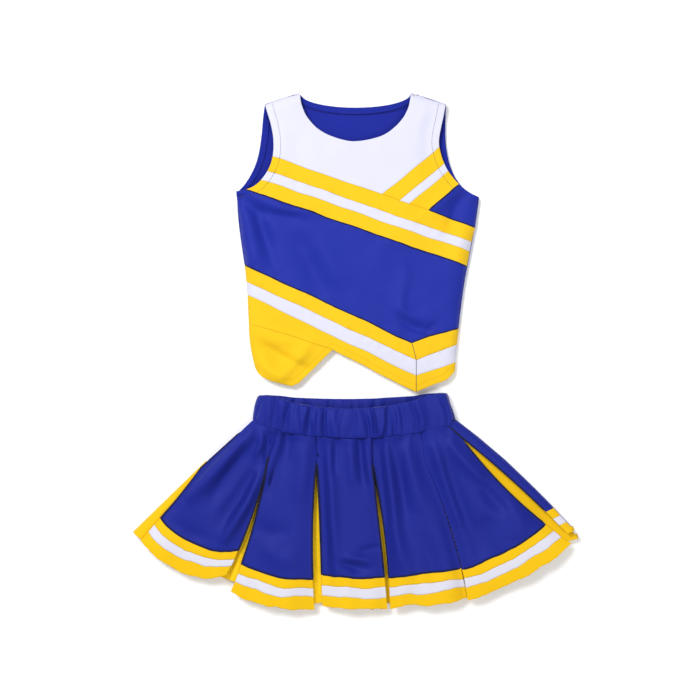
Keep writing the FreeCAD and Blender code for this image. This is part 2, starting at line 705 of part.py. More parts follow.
def build_front():
    """The five hinged front panels with their hem stripes, the inserts and the side panel."""
    pieces = {}
    level = SKIRT_LOFT - CLOTH
    for index in range(1, len(FOLDS)):
        plate = below_waist(slab(panel_plan(index), level), front_seam_points(), FRONT_SEAM_DIP)
        waist_x = (FOLDS[index - 1]["waist"] + FOLDS[index]["waist"]) / 2
        hem = [FOLDS[index - 1]["right"], HEM_MIDDLES[index - 1], FOLDS[index]["left"]]
        bottom, white, top, cloth = banded(plate, hem, toward_waist(hem[1], waist_x))
        pieces["pleat_panel_%d" % index] = cloth
        pieces["hem_bottom_stripe_%d" % index] = bottom
        pieces["hem_white_stripe_%d" % index] = white
        pieces["hem_top_stripe_%d" % index] = top
    insert_level = level - INSERT_DEPTH
    for index in range(1, len(FOLDS) - 1):
        fold = FOLDS[index]
        layer = slab(insert_plan(fold, fold["left"], fold["right"]), insert_level)
        pieces["pleat_insert_%d" % index] = below_waist(layer, front_seam_points(), FRONT_SEAM_DIP)
    left = left_fold_plan()
    corners = [(v.X, v.Y) for v in left.Vertexes][:2]
    pieces["pleat_insert_0"] = slab(left, insert_level).fuse(wall(corners, CLOTH + SEAM_GAP, insert_level))
    last = len(FOLDS) - 1
    layer = slab(last_insert_plan(), insert_level)
    pieces["pleat_insert_%d" % last] = below_waist(layer, front_seam_points(), FRONT_SEAM_DIP)
    side = slab(side_panel_plan(), level)
    outer = [lifted(WAIST_END_RIGHT, -SEAM_GAP)] + SIDE_PANEL_OUTER
    standing = wall(outer, CLOTH + SEAM_GAP, level)
    hem = [FOLDS[-1]["right"], lerp(FOLDS[-1]["right"], SIDE_PANEL_HEM, 0.5), SIDE_PANEL_HEM]
    bottom, white, top, cloth = banded(side, hem, toward_waist(hem[1], WAIST_END_RIGHT[0]))
    pieces["skirt_side_panel"] = cloth.fuse(standing.common(stretched(cloth)))
    side_hem = {"back_hem_bottom": bottom, "back_hem_white": white, "back_hem_top": top}
    return pieces, side_hem


def build_skirt():
    """Every piece of the skirt, by name."""
    pieces = build_waistband()
    pieces.update(build_back())
    front, side_hem = build_front()
    pieces.update(front)
    for name, strip in side_hem.items():
        pieces[name] = Part.makeCompound(pieces[name].Solids + strip.Solids)
    return pieces


# ---- output ------------------------------------------------------------------------------------
def main():
    """Builds every piece, moves the whole to the origin and writes one file for each piece."""
    pieces = build_top()
    pieces.update(build_skirt())
    whole = Part.makeCompound(list(pieces.values())).BoundBox
    to_origin = V(-whole.Center.x, -whole.Center.y, -whole.ZMin)
    os.makedirs("parts", exist_ok=True)
    for name, shape in pieces.items():
        solids = [s for s in shape.translated(to_origin).Solids if s.Volume > CRUMB]
        node = solids[0] if len(solids) == 1 else Part.makeCompound(solids)
        node.exportStep("parts/%s.step" % name)
        print("%-26s %2d solids %9.1f mm3 valid=%s" % (name, len(solids), node.Volume, node.isValid()))
    print("nodes", len(pieces), "box", whole.XLength, whole.YLength, whole.ZLength, "moved by", to_origin)


main()
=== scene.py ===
"""Dresses a flat-laid two-piece cheer uniform: a striped shell top and a box-pleated skirt.

Every piece of cloth is cut from the outline of its CAD node, laid over a soft height field, given
turned edges and a thickness, and finished in knit cloth. Metres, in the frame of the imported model.
"""

import json
import logging
import math
from dataclasses import dataclass, field
from enum import Enum
from functools import partial
from typing import Callable, Iterable, Sequence

import bmesh
import bpy
import numpy as np
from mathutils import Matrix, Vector, geometry, noise

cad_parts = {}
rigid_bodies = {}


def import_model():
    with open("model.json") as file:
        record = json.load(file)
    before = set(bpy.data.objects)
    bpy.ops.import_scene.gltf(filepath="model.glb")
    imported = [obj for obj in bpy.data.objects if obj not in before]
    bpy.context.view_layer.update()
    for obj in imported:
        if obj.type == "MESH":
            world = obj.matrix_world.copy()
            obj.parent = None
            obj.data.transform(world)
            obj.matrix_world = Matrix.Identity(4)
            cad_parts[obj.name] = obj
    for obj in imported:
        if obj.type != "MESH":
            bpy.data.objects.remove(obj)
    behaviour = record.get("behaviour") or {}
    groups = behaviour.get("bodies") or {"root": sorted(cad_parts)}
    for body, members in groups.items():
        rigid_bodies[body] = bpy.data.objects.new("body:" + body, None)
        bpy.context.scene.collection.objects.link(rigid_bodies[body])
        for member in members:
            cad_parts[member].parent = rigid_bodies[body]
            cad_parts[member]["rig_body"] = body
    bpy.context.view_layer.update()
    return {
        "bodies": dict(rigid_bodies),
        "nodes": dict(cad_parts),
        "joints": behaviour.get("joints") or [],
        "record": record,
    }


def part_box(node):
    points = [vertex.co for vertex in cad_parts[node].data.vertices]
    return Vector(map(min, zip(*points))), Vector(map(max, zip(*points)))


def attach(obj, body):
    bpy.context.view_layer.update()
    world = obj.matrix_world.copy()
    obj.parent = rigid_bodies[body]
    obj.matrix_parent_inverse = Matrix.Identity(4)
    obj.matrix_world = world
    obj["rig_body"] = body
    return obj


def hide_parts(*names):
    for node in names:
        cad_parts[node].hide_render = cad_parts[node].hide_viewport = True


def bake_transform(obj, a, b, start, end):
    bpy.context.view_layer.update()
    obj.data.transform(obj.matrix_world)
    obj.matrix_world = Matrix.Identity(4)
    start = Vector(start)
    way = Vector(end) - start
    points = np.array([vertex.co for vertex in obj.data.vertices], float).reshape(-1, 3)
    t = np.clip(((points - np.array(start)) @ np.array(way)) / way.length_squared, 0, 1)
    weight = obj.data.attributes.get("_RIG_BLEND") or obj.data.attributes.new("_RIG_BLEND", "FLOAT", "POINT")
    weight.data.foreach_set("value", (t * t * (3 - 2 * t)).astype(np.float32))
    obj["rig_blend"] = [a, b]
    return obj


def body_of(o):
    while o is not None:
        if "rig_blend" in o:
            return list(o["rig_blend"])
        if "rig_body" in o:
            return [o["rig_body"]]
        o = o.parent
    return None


log = logging.getLogger("uniform")

Plan = tuple[float, float]
Height = Callable[[float, float], float]
WELD = 0.0006  # points nearer than this to a seam already laid are moved onto it


# ---- finishes ------------------------------------------------------------------------------------
def node_group(name: str, inputs: dict[str, str], outputs: dict[str, str]) -> bpy.types.NodeTree:
    """Makes an empty shader group.

    Args:
        name: The group's name.
        inputs: Socket names and types that the group takes.
        outputs: Socket names and types that the group gives.

    Returns:
        The group, with its input and output nodes in place.
    """
    group = bpy.data.node_groups.new(name, "ShaderNodeTree")
    for label, kind in inputs.items():
        group.interface.new_socket(label, in_out="INPUT", socket_type=kind)
    for label, kind in outputs.items():
        group.interface.new_socket(label, in_out="OUTPUT", socket_type=kind)
    group.nodes.new("NodeGroupInput").name = "In"
    group.nodes.new("NodeGroupOutput").name = "Out"
    return group


def math_node(tree: bpy.types.NodeTree, operation: str, *values: object) -> bpy.types.NodeSocket:
    """Adds a Math node.

    Args:
        tree: The tree that the node goes in.
        operation: The node's operation.
        values: Its inputs, each a number or a socket.

    Returns:
        The node's output socket.
    """
    node = tree.nodes.new("ShaderNodeMath")
    node.operation = operation
    for socket, value in zip(node.inputs, values):
        if isinstance(value, bpy.types.NodeSocket):
            tree.links.new(value, socket)
        else:
            socket.default_value = value
    return node.outputs[0]


def noise_node(
    tree: bpy.types.NodeTree, place: bpy.types.NodeSocket, scale: float, detail: float
) -> bpy.types.NodeSocket:
    """Adds a Noise texture and returns its value."""
    node = tree.nodes.new("ShaderNodeTexNoise")
    node.inputs["Scale"].default_value = scale
    node.inputs["Detail"].default_value = detail
    tree.links.new(place, node.inputs["Vector"])
    return node.outputs["Fac"]


def knit_group() -> bpy.types.NodeTree:
    """Builds the knit: rows of small loops, soft uneven dye, fine fibre and painted shade between the loops.

    Returns:
        A group that takes two colours and a pitch, and gives a colour, a height and a roughness.
    """
    colours, floats = "NodeSocketColor", "NodeSocketFloat"
    tree = node_group(
        "Knit",
        {"Colour": colours, "Shade": colours, "Wales Per Metre": floats, "Roughness": floats},
        {"Colour": colours, "Height": floats, "Roughness": floats},
    )
    entry, leave = tree.nodes["In"], tree.nodes["Out"]
    place = tree.nodes.new("ShaderNodeTexCoord").outputs["Object"]
    split = tree.nodes.new("ShaderNodeSeparateXYZ")
    tree.links.new(place, split.inputs[0])
    density = entry.outputs["Wales Per Metre"]
    across = math_node(tree, "MULTIPLY", split.outputs["X"], density)
    along = math_node(tree, "MULTIPLY", split.outputs["Y"], density)
    within = math_node(tree, "FRACT", across)
    lean = math_node(tree, "ABSOLUTE", math_node(tree, "SUBTRACT", within, 0.5))
    stagger = math_node(tree, "MULTIPLY_ADD", lean, 1.1, along)
    loop = math_node(tree, "SINE", math_node(tree, "MULTIPLY", stagger, 2 * math.pi))
    wale = math_node(tree, "SINE", math_node(tree, "MULTIPLY", within, math.pi))
    stitch = math_node(tree, "MULTIPLY", math_node(tree, "MULTIPLY_ADD", loop, 0.35, 0.65), wale)
    fibre = noise_node(tree, place, 2600.0, 2.0)
    tree.links.new(math_node(tree, "MULTIPLY_ADD", fibre, 0.35, stitch), leave.inputs["Height"])
    dye = noise_node(tree, place, 16.0, 3.0)
    cloud = math_node(tree, "MULTIPLY_ADD", dye, 0.5, math_node(tree, "MULTIPLY", fibre, 0.35))
    # The colour leans to the Shade colour with the uneven dye, a real tone, and between the loops, where it is
    # painted shade.
    lifted = math_node(tree, "ADD", cloud, 0.12)
    dye_and_loop_shade = math_node(tree, "SUBTRACT", lifted, math_node(tree, "MULTIPLY", stitch, 0.3))
    mix = tree.nodes.new("ShaderNodeMix")
    mix.data_type = "RGBA"
    mix.clamp_factor = True
    tree.links.new(dye_and_loop_shade, mix.inputs["Factor"])
    tree.links.new(entry.outputs["Colour"], mix.inputs["A"])
    tree.links.new(entry.outputs["Shade"], mix.inputs["B"])
    tree.links.new(mix.outputs["Result"], leave.inputs["Colour"])
    rough = math_node(tree, "MULTIPLY_ADD", fibre, 0.12, entry.outputs["Roughness"])
    tree.links.new(rough, leave.inputs["Roughness"])
    return tree


@dataclass(frozen=True)
class Knit:
    """A knit cloth: its colours, how fine it is and how it takes the light."""

    name: str
    slot: str
    colour: tuple[float, float, float]
    # The darker colour that the knit leans to with its uneven dye, and as painted shade between its loops.
    shade: tuple[float, float, float]
    wales: float = 900.0
    depth: float = 0.00012
    roughness: float = 0.60
    sheen: float = 0.04
    gloss: float = 0.12

    def material(self) -> bpy.types.Material:
        """Returns the finish's material, made once."""
        made = bpy.data.materials.get(self.name)
        if made:
            return made
        made = bpy.data.materials.new(self.name)
        made.use_nodes = True
        tree = made.node_tree
        shader = tree.nodes["Principled BSDF"]
        shader.inputs["Sheen Weight"].default_value = self.sheen
        shader.inputs["Sheen Roughness"].default_value = 0.5
        shader.inputs["Specular IOR Level"].default_value = self.gloss
        tint = [0.4 + 0.6 * channel / max(self.colour) for channel in self.colour]
        shader.inputs["Specular Tint"].default_value = (*tint, 1.0)
        knit = tree.nodes.new("ShaderNodeGroup")
        knit.node_tree = bpy.data.node_groups.get("Knit") or knit_group()
        knit.inputs["Colour"].default_value = (*self.colour, 1.0)
        knit.inputs["Shade"].default_value = (*self.shade, 1.0)
        knit.inputs["Wales Per Metre"].default_value = self.wales
        knit.inputs["Roughness"].default_value = self.roughness
        bump = tree.nodes.new("ShaderNodeBump")
        bump.inputs["Distance"].default_value = self.depth
        bump.inputs["Strength"].default_value = 0.6
        tree.links.new(knit.outputs["Height"], bump.inputs["Height"])
        tree.links.new(bump.outputs["Normal"], shader.inputs["Normal"])
        tree.links.new(knit.outputs["Colour"], shader.inputs["Base Color"])
        tree.links.new(knit.outputs["Roughness"], shader.inputs["Roughness"])
        made.diffuse_color = (*self.colour, 1.0)
        return made


YOKE_WHITE = Knit("yoke_white_knit", "white_knit", (0.640, 0.640, 0.755), (0.555, 0.555, 0.690))
BAND_WHITE = Knit("band_white_knit", "white_knit", (0.640, 0.640, 0.740), (0.545, 0.545, 0.665))
BAND_GOLD = Knit("band_gold_knit", "gold_knit", (0.790, 0.515, 0.0150), (0.700, 0.400, 0.008))
TOP_BLUE = Knit(
    "top_royal_knit", "royal_knit", (0.0125, 0.025, 0.305), (0.0085, 0.017, 0.235), roughness=0.50, gloss=0.26
)
LINING_BLUE = Knit("inner_royal_knit", "facing", (0.0138, 0.0238, 0.290), (0.0096, 0.0165, 0.215))
SKIRT_BLUE = Knit(
    "skirt_royal_knit",
    "royal_knit",
    (0.0080, 0.0165, 0.235),
    (0.0052, 0.0112, 0.172),
    wales=1000.0,
    roughness=0.48,
    gloss=0.30,
)
SKIRT_GOLD = Knit("skirt_gold_knit", "gold_knit", (0.790, 0.500, 0.0075), (0.690, 0.380, 0.0050), wales=1000.0)
# A lighter copy of the skirt's gold for the inserts: painted light that brightens them against the shade that
# falls in the slits.
INSERT_GOLD_PAINTED_BRIGHT = Knit("insert_gold_knit", "gold_knit", (0.930, 0.620, 0.014), (0.840, 0.500, 0.009), wales=1000.0)
BRAID_WHITE = Knit("hem_white_knit", "white_knit", (0.650, 0.640, 0.715), (0.535, 0.525, 0.615), wales=1000.0)
ELASTIC = Knit("woven_elastic", "elastic", (0.75, 0.75, 0.75), (0.55, 0.55, 0.56), wales=600.0, depth=0.0003)
THREAD = {"wales": 3000.0, "depth": 0.00003}
# Dark thread, also laid wide and dark along colour seams and fold edges, where it paints the shade that falls
# in them.
DARK_THREAD_AND_SEAM_SHADE = Knit("dark_thread_and_seam_shade", "royal_knit", (0.012, 0.014, 0.06), (0.008, 0.009, 0.03), **THREAD)
GREY_THREAD = Knit("grey_thread", "white_knit", (0.05, 0.05, 0.09), (0.03, 0.03, 0.06), **THREAD)
GOLD_THREAD = Knit("gold_thread", "gold_knit", (0.74, 0.44, 0.008), (0.62, 0.36, 0.006), **THREAD)


# ---- outlines from the frame -----------------------------------------------------------------------
def plan_loops(frame: dict, node: str, low: bool = False) -> list[list[Plan]]:
    """Reads the plan outline of a CAD plate.

    Args:
        node: The CAD node.
        low: Whether to read the node's lowest plates instead of its highest ones.

    Returns:
        One closed run of plan points for each plate, counter-clockwise.
    """
    mesh = frame["nodes"][node].data
    bm = bmesh.new()
    bm.from_mesh(mesh)
    bmesh.ops.remove_doubles(bm, verts=bm.verts, dist=1e-6)
    up = [f for f in bm.faces if f.normal.z > 0.9]
    heights = [f.calc_center_median().z for f in up]
    level = min(heights) if low else max(heights)
    chosen = {f for f, z in zip(up, heights) if abs(z - level) < 0.0005}
    follow: dict[bmesh.types.BMVert, bmesh.types.BMVert] = {}
    for face in chosen:
        for loop in face.loops:
            if sum(f in chosen for f in loop.edge.link_faces) == 1:
                follow[loop.vert] = loop.link_loop_next.vert
    loops: list[list[Plan]] = []
    while follow:
        first, vert = follow.popitem()
        run = [(first.co.x, first.co.y)]
        while vert is not first and vert in follow:
            run.append((vert.co.x, vert.co.y))
            vert = follow.pop(vert)
        loops.append(run)
    bm.free()
    return loops


def divided(run: Sequence[Plan], step: float, closed: bool = True) -> list[Plan]:
    """Adds points to a run so that no side is longer than step."""
    out: list[Plan] = []
    ends = list(run[1:]) + ([run[0]] if closed else [])
    for a, b in zip(run, ends):
        count = max(1, math.ceil(math.dist(a, b) / step))
        out += [(a[0] + (b[0] - a[0]) * i / count, a[1] + (b[1] - a[1]) * i / count) for i in range(count)]
    return out if closed else out + [run[-1]]


def distance_to(points: np.ndarray, runs: Iterable[Sequence[Plan]]) -> np.ndarray:
    """Plan distance from each point to the nearest of some open runs."""
    best = np.full(len(points), 1e3)
    for run in runs:
        for a, b in zip(run, run[1:]):
            a, b = np.array(a), np.array(b)
            span = b - a
            t = np.clip(((points - a) @ span) / max(span @ span, 1e-12), 0, 1)
            best = np.minimum(best, np.linalg.norm(points - (a + t[:, None] * span), axis=1))
    return best


@dataclass
class Cutting:
    """A layer of cloth: its panels' triangles, which share points along every seam."""

    points: np.ndarray
    triangles: list[tuple[int, int, int]]
    panel: list[str]

    def boundary(self) -> list[tuple[int, int]]:
        """The layer's outer edges, each directed with the cloth on its left."""
        seen: dict[tuple[int, int], int] = {}
        for tri in self.triangles:
            for a, b in zip(tri, tri[1:] + tri[:1]):
                seen[(a, b)] = seen.get((a, b), 0) + 1
        return [edge for edge in seen if (edge[1], edge[0]) not in seen]

    def outer_edges(self) -> list[tuple[int, int, Plan, Plan]]:
        """The layer's outer edges, each with its middle and its outward normal."""
        found = []
        for a, b in self.boundary():
            start, end = self.points[a], self.points[b]
            way = (end - start) / max(np.linalg.norm(end - start), 1e-9)
            found.append((a, b, tuple((start + end) / 2), (way[1], -way[0])))
        return found

    def outline(self, chosen: Callable[[Plan, Plan], bool]) -> list[list[Plan]]:
        """The runs of the outline whose edges pass a test on their middle and outward normal."""
        edges = [(a, b) for a, b, middle, normal in self.outer_edges() if chosen(middle, normal)]
        return [[tuple(self.points[i]) for i in run] for run in chained(edges)]

    def seam_between(self, first: str, second: str) -> list[list[int]]:
        """The runs of point numbers along which two panels meet."""
        owner: dict[tuple[int, int], str] = {}
        for tri, name in zip(self.triangles, self.panel):
            for a, b in zip(tri, tri[1:] + tri[:1]):
                owner[(a, b)] = name
        edges = [e for e, name in owner.items() if name == first and owner.get((e[1], e[0])) == second]
        return chained(edges)


def chained(edges: Iterable[tuple[int, int]]) -> list[list[int]]:
    """Joins directed edges into runs."""
    follow = dict(edges)
    starts = [a for a in follow if a not in set(follow.values())]
    runs: list[list[int]] = []
    for start in starts + list(follow):
        if start not in follow:
            continue
        run = [start]
        while run[-1] in follow:
            run.append(follow.pop(run[-1]))
        runs.append(run)
    return runs


def inside(points: np.ndarray, loop: Sequence[Plan]) -> np.ndarray:
    """Which points lie inside a closed run."""
    hit = np.zeros(len(points), bool)
    for (ax, ay), (bx, by) in zip(loop, list(loop[1:]) + [loop[0]]):
        if ay == by:
            continue
        crossing = (ay > points[:, 1]) != (by > points[:, 1])
        hit ^= crossing & (points[:, 0] < ax + (points[:, 1] - ay) * (bx - ax) / (by - ay))
    return hit


def welded(run: Sequence[Plan], known: Sequence[Sequence[Plan]]) -> tuple[np.ndarray, np.ndarray]:
    """Moves the points of a run that lie on runs already laid exactly onto them.

    Args:
        run: The points.
        known: The closed runs already laid.

    Returns:
        The points, and which of them were on a known run.
    """
    points = np.array(run)
    out, best = points.copy(), np.full(len(points), WELD)
    for loop in known:
        ring = np.array(loop)
        for a, b in zip(ring, np.roll(ring, -1, axis=0)):
            span = b - a
            t = np.clip(((points - a) @ span) / max(span @ span, 1e-12), 0, 1)
            spot = a + t[:, None] * span
            for corner in (a, b):
                spot[np.linalg.norm(spot - corner, axis=1) < WELD] = corner
            gap = np.linalg.norm(points - spot, axis=1)
            closer = gap < best
            out[closer], best = spot[closer], np.where(closer, gap, best)
    return out, best < WELD


def cut_layer(outlines: dict[str, list[list[Plan]]], spacing: float) -> Cutting:
    """Lays one mesh over several panels.

    Args:
        outlines: Each panel's closed outlines.
        spacing: The mesh's size.

    Returns:
        The layer, whose mesh follows every panel's outline and has one edge where two panels meet.
    """
    points: list[Plan] = []
    edges: list[tuple[int, int]] = []
    known: list[list[Plan]] = []
    owners: list[tuple[str, list[Plan]]] = []
    for name, loops in outlines.items():
        for loop in loops:
            run = divided(loop, spacing)
            spots, shared = welded(run, known)
            between = shared & np.roll(shared, 1) & np.roll(shared, -1)
            number = [-1] * len(run)
            for i in np.flatnonzero(~between):
                number[i] = len(points)
                points.append(tuple(spots[i]))
            for i, j in zip(range(len(run)), list(range(1, len(run))) + [0]):
                if number[i] >= 0 and number[j] >= 0 and not (shared[i] and shared[j]):
                    edges.append((number[i], number[j]))
            known.append(run)
            owners.append((name, run))
    laid = np.array(points)
    low, high = laid.min(axis=0), laid.max(axis=0)
    row = spacing * math.sqrt(3) / 2
    grid = np.array(
        [
            (low[0] + (i + 0.5 * (j % 2)) * spacing, low[1] + j * row)
            for j in range(int((high[1] - low[1]) / row) + 1)
            for i in range(int((high[0] - low[0]) / spacing) + 1)
        ]
    )
    clear = distance_to(grid, [run + run[:1] for run in known]) > 0.55 * spacing
    flat = [Vector(p) for p in points] + [Vector(p) for p in grid[clear]]
    verts, _, tris, _, _, _ = geometry.delaunay_2d_cdt(flat, edges, [], 0, 1e-5, False)
    corners = np.array([tuple(v) for v in verts])
    middles = corners[np.array(tris)].mean(axis=1)
    owner = np.full(len(tris), "", dtype=object)
    for name, run in reversed(owners):
        owner[inside(middles, run)] = name
    kept = [(tuple(t), name) for t, name in zip(tris, owner) if name]
    return Cutting(corners, [t for t, _ in kept], [n for _, n in kept])


# ---- cloth pieces ----------------------------------------------------------------------------------
class Edge(Enum):
    """How an edge of a piece of cloth is finished."""

    SEAM = "seam"
    FOLD = "fold"
    HEM = "hem"
    RAW = "raw"


@dataclass(frozen=True)
class Turn:
    """The steps that a turned edge takes: how far out, then how far down, for each step."""

    steps: tuple[tuple[float, float], ...]


HEM_NORMAL = -0.55  # a skirt edge that faces further down than this is its hem


def raw_edge(name: str, middle: Plan, normal: Plan) -> Edge:
    """Leaves every outer edge raw, for cloth whose edges lie under other pieces."""
    return Edge.RAW


def hemmed_edge(name: str, middle: Plan, normal: Plan) -> Edge:
    """Turns up the lower edge and leaves the others raw."""
    return Edge.HEM if normal[1] < HEM_NORMAL else Edge.RAW


def insert_edge(name: str, middle: Plan, normal: Plan) -> Edge:
    """Turns up only an insert's straight lower edge."""
    return Edge.HEM if normal[1] < -0.9 else Edge.RAW


def side_edge(name: str, middle: Plan, normal: Plan) -> Edge:
    """Turns up the side panel's lower edge and folds its inner one."""
    if normal[1] < HEM_NORMAL:
        return Edge.HEM
    return Edge.FOLD if normal[0] < -0.2 else Edge.RAW


TURNS = {
    Edge.SEAM: Turn(()),
    Edge.RAW: Turn(()),
    Edge.HEM: Turn(((0.0003, -0.0005), (0.0, -0.0013), (-0.0065, -0.0022))),
    Edge.FOLD: Turn(((0.0002, -0.0006), (0.0, -0.0018), (-0.0090, -0.0032))),
}


@dataclass
class Cloth:
    """Makes solid pieces of cloth out of a cut layer."""

    thickness: float = 0.0009
    groove: float = 0.0003
    lip: float = 0.0011

    def pieces(
        self,
        layer: Cutting,
        heights: np.ndarray,
        finish: dict[str, Knit],
        style: Callable[[str, Plan, Plan], Edge],
        suffix: str = "",
    ) -> dict[str, bpy.types.Object]:
        """Splits a layer into its panels.

        Args:
            layer: The cut layer.
            heights: The height of each of its points.
            finish: Each panel's cloth.
            style: Says how an outer edge is finished from its panel, its middle and its outward normal.
            suffix: An ending for the pieces' names.

        Returns:
            Each panel's object, by the panel's name.
        """
        outer = set(layer.boundary())
        made: dict[str, bpy.types.Object] = {}
        for name in dict.fromkeys(layer.panel):
            tris = [t for t, owner in zip(layer.triangles, layer.panel) if owner == name]
            judge = partial(style, name)
            made[name] = self.piece(name + suffix, layer, heights, tris, outer, finish[name], judge)
        return made

    def piece(
        self,
        name: str,
        layer: Cutting,
        heights: np.ndarray,
        tris: list[tuple[int, int, int]],
        outer: set[tuple[int, int]],
        knit: Knit,
        style: Callable[[Plan, Plan], Edge],
    ) -> bpy.types.Object:
        """Makes one panel: its surface, a sunk lip along its seams, its turned edges and its thickness."""
        used = sorted({i for t in tris for i in t})
        bm = bmesh.new()
        verts = {i: bm.verts.new((layer.points[i][0], layer.points[i][1], heights[i])) for i in used}
        number = {(v.co.x, v.co.y): i for i, v in verts.items()}
        for tri in tris:
            bm.faces.new([verts[i] for i in tri])
        bm.normal_update()
        bmesh.ops.inset_region(
            bm, faces=bm.faces[:], thickness=self.lip, use_boundary=True, use_even_offset=False
        )
        turned: dict[Edge, list[bmesh.types.BMEdge]] = {}
        outward: dict[bmesh.types.BMVert, Vector] = {}
        for edge in [e for e in bm.edges if e.is_boundary]:
            loop = edge.link_loops[0]
            a, b = loop.vert, loop.link_loop_next.vert
            along = (b.co - a.co).to_2d().normalized()
            normal = Vector((along.y, -along.x))
            kind = Edge.SEAM
            if (number.get((a.co.x, a.co.y)), number.get((b.co.x, b.co.y))) in outer:
                middle = (a.co + b.co) / 2
                kind = style((middle.x, middle.y), (normal.x, normal.y))
            turned.setdefault(kind, []).append(edge)
            if kind not in (Edge.SEAM, Edge.RAW):
                for vert in (a, b):
                    outward[vert] = outward.get(vert, Vector((0, 0))) + normal
        for edge in turned.get(Edge.SEAM, []):
            for vert in edge.verts:
                vert.tag = True
        for vert in bm.verts:
            if vert.tag:
                vert.co.z -= self.groove
                vert.tag = False
        for kind in (Edge.HEM, Edge.FOLD):
            self.turn(bm, turned.get(kind, []), outward, TURNS[kind])
        bm.normal_update()
        if sum(face.normal.z * face.calc_area() for face in bm.faces) < 0:
            bmesh.ops.reverse_faces(bm, faces=bm.faces[:])
        mesh = bpy.data.meshes.new(name)
        bm.to_mesh(mesh)
        bm.free()
        return finished(name, mesh, knit, self.thickness)

    def turn(
        self,
        bm: bmesh.types.BMesh,
        edges: list[bmesh.types.BMEdge],
        outward: dict[bmesh.types.BMVert, Vector],
        turn: Turn,
    ) -> None:
        """Carries edges out and under, one strip for each step of the turn."""
        base = {v: (v.co.copy(), outward[v].normalized()) for e in edges for v in e.verts}
        came_from = {v: v for v in base}
        for out, down in turn.steps:
            made = bmesh.ops.extrude_edge_only(bm, edges=edges)["geom"]
            new_verts = [g for g in made if isinstance(g, bmesh.types.BMVert)]
            edges = [g for g in made if isinstance(g, bmesh.types.BMEdge)]
            nearest: dict[bmesh.types.BMVert, bmesh.types.BMVert] = {}
            for vert in new_verts:
                for edge in vert.link_edges:
                    other = edge.other_vert(vert)
                    if other in came_from and other not in new_verts:
                        nearest[vert] = came_from[other]
            for vert, root in nearest.items():
                place, way = base[root]
                vert.co = place + Vector((way.x * out, way.y * out, down))
            came_from = nearest
        bmesh.ops.recalc_face_normals(bm, faces=bm.faces[:])


def finished(name: str, mesh: bpy.types.Mesh, knit: Knit, thickness: float = 0.0) -> bpy.types.Object:
    """Puts a mesh in the scene with its cloth, smooth, and thickened downwards."""
    for polygon in mesh.polygons:
        polygon.use_smooth = True
    mesh.materials.append(knit.material())
    obj = bpy.data.objects.new(name, mesh)
    bpy.context.scene.collection.objects.link(obj)
    if thickness:
        solid = obj.modifiers.new("thickness", "SOLIDIFY")
        solid.thickness = thickness
        solid.offset = -1.0
        apply_modifiers(obj)
    return obj


def closed_up(
    name: str, bm: bmesh.types.BMesh, knit: Knit, thickness: float = 0.0
) -> bpy.types.Object:
    """Turns a hand-made mesh's faces outwards and puts it in the scene."""
    bmesh.ops.recalc_face_normals(bm, faces=bm.faces[:])
    mesh = bpy.data.meshes.new(name)
    bm.to_mesh(mesh)
    bm.free()
    return finished(name, mesh, knit, thickness)


def apply_modifiers(obj: bpy.types.Object) -> None:
    """Bakes an object's modifiers into its mesh."""
    graph = bpy.context.evaluated_depsgraph_get()
    mesh = bpy.data.meshes.new_from_object(obj.evaluated_get(graph))
    obj.modifiers.clear()
    old, obj.data = obj.data, mesh
    mesh.name = old.name
    bpy.data.meshes.remove(old)


def declare(width: float = 0.0) -> None:
    """Takes the size that a piece of cloth was cut to, and does nothing with it.

    Args:
        width: The strip's width, or 0 for a panel.
    """
    if width:
        return


@dataclass(frozen=True)
class Fold:
    """A soft fold: a ridge, or a valley when its height is negative, along a run of plan points."""

    path: tuple[Plan, ...]
    height: float
    width: float
    skew: float = 1.0

    def lift(self, points: np.ndarray) -> np.ndarray:
        """How much the fold lifts each point, fading towards its two ends."""
        lengths = [math.dist(a, b) for a, b in zip(self.path, self.path[1:])]
        done = 0.0
        best = np.full(len(points), 1e3)
        place = np.zeros(len(points))
        side = np.zeros(len(points))
        for a, b, length in zip(self.path, self.path[1:], lengths):
            a, span = np.array(a), np.array(b) - np.array(a)
            t = np.clip(((points - a) @ span) / (span @ span), 0, 1)
            offset = points - (a + t[:, None] * span)
            near = np.linalg.norm(offset, axis=1)
            closer = near < best
            best = np.where(closer, near, best)
            place = np.where(closer, (done + t * length) / sum(lengths), place)
            side = np.where(closer, span[0] * offset[:, 1] - span[1] * offset[:, 0], side)
            done += length
        reach = np.where(side > 0, self.width * self.skew, self.width)
        fade = np.sin(np.pi * np.clip(place, 0.02, 0.98)) ** 0.6
        return self.height * np.exp(-((best / reach) ** 2)) * fade


def rounded(near: np.ndarray, reach: float) -> np.ndarray:
    """A quarter round that rises from 0 at an edge to 1 at its reach."""
    return np.sqrt(1 - (1 - np.clip(near / reach, 0, 1)) ** 2)


def ripple(points: np.ndarray, size: float, depth: float, seed: float, stretch: float = 1.0) -> np.ndarray:
    """Soft uneven waves over some points, longer along Y when stretch is under 1."""
    return np.array([depth * noise.noise(Vector((x / size, y * stretch / size, seed))) for x, y in points])


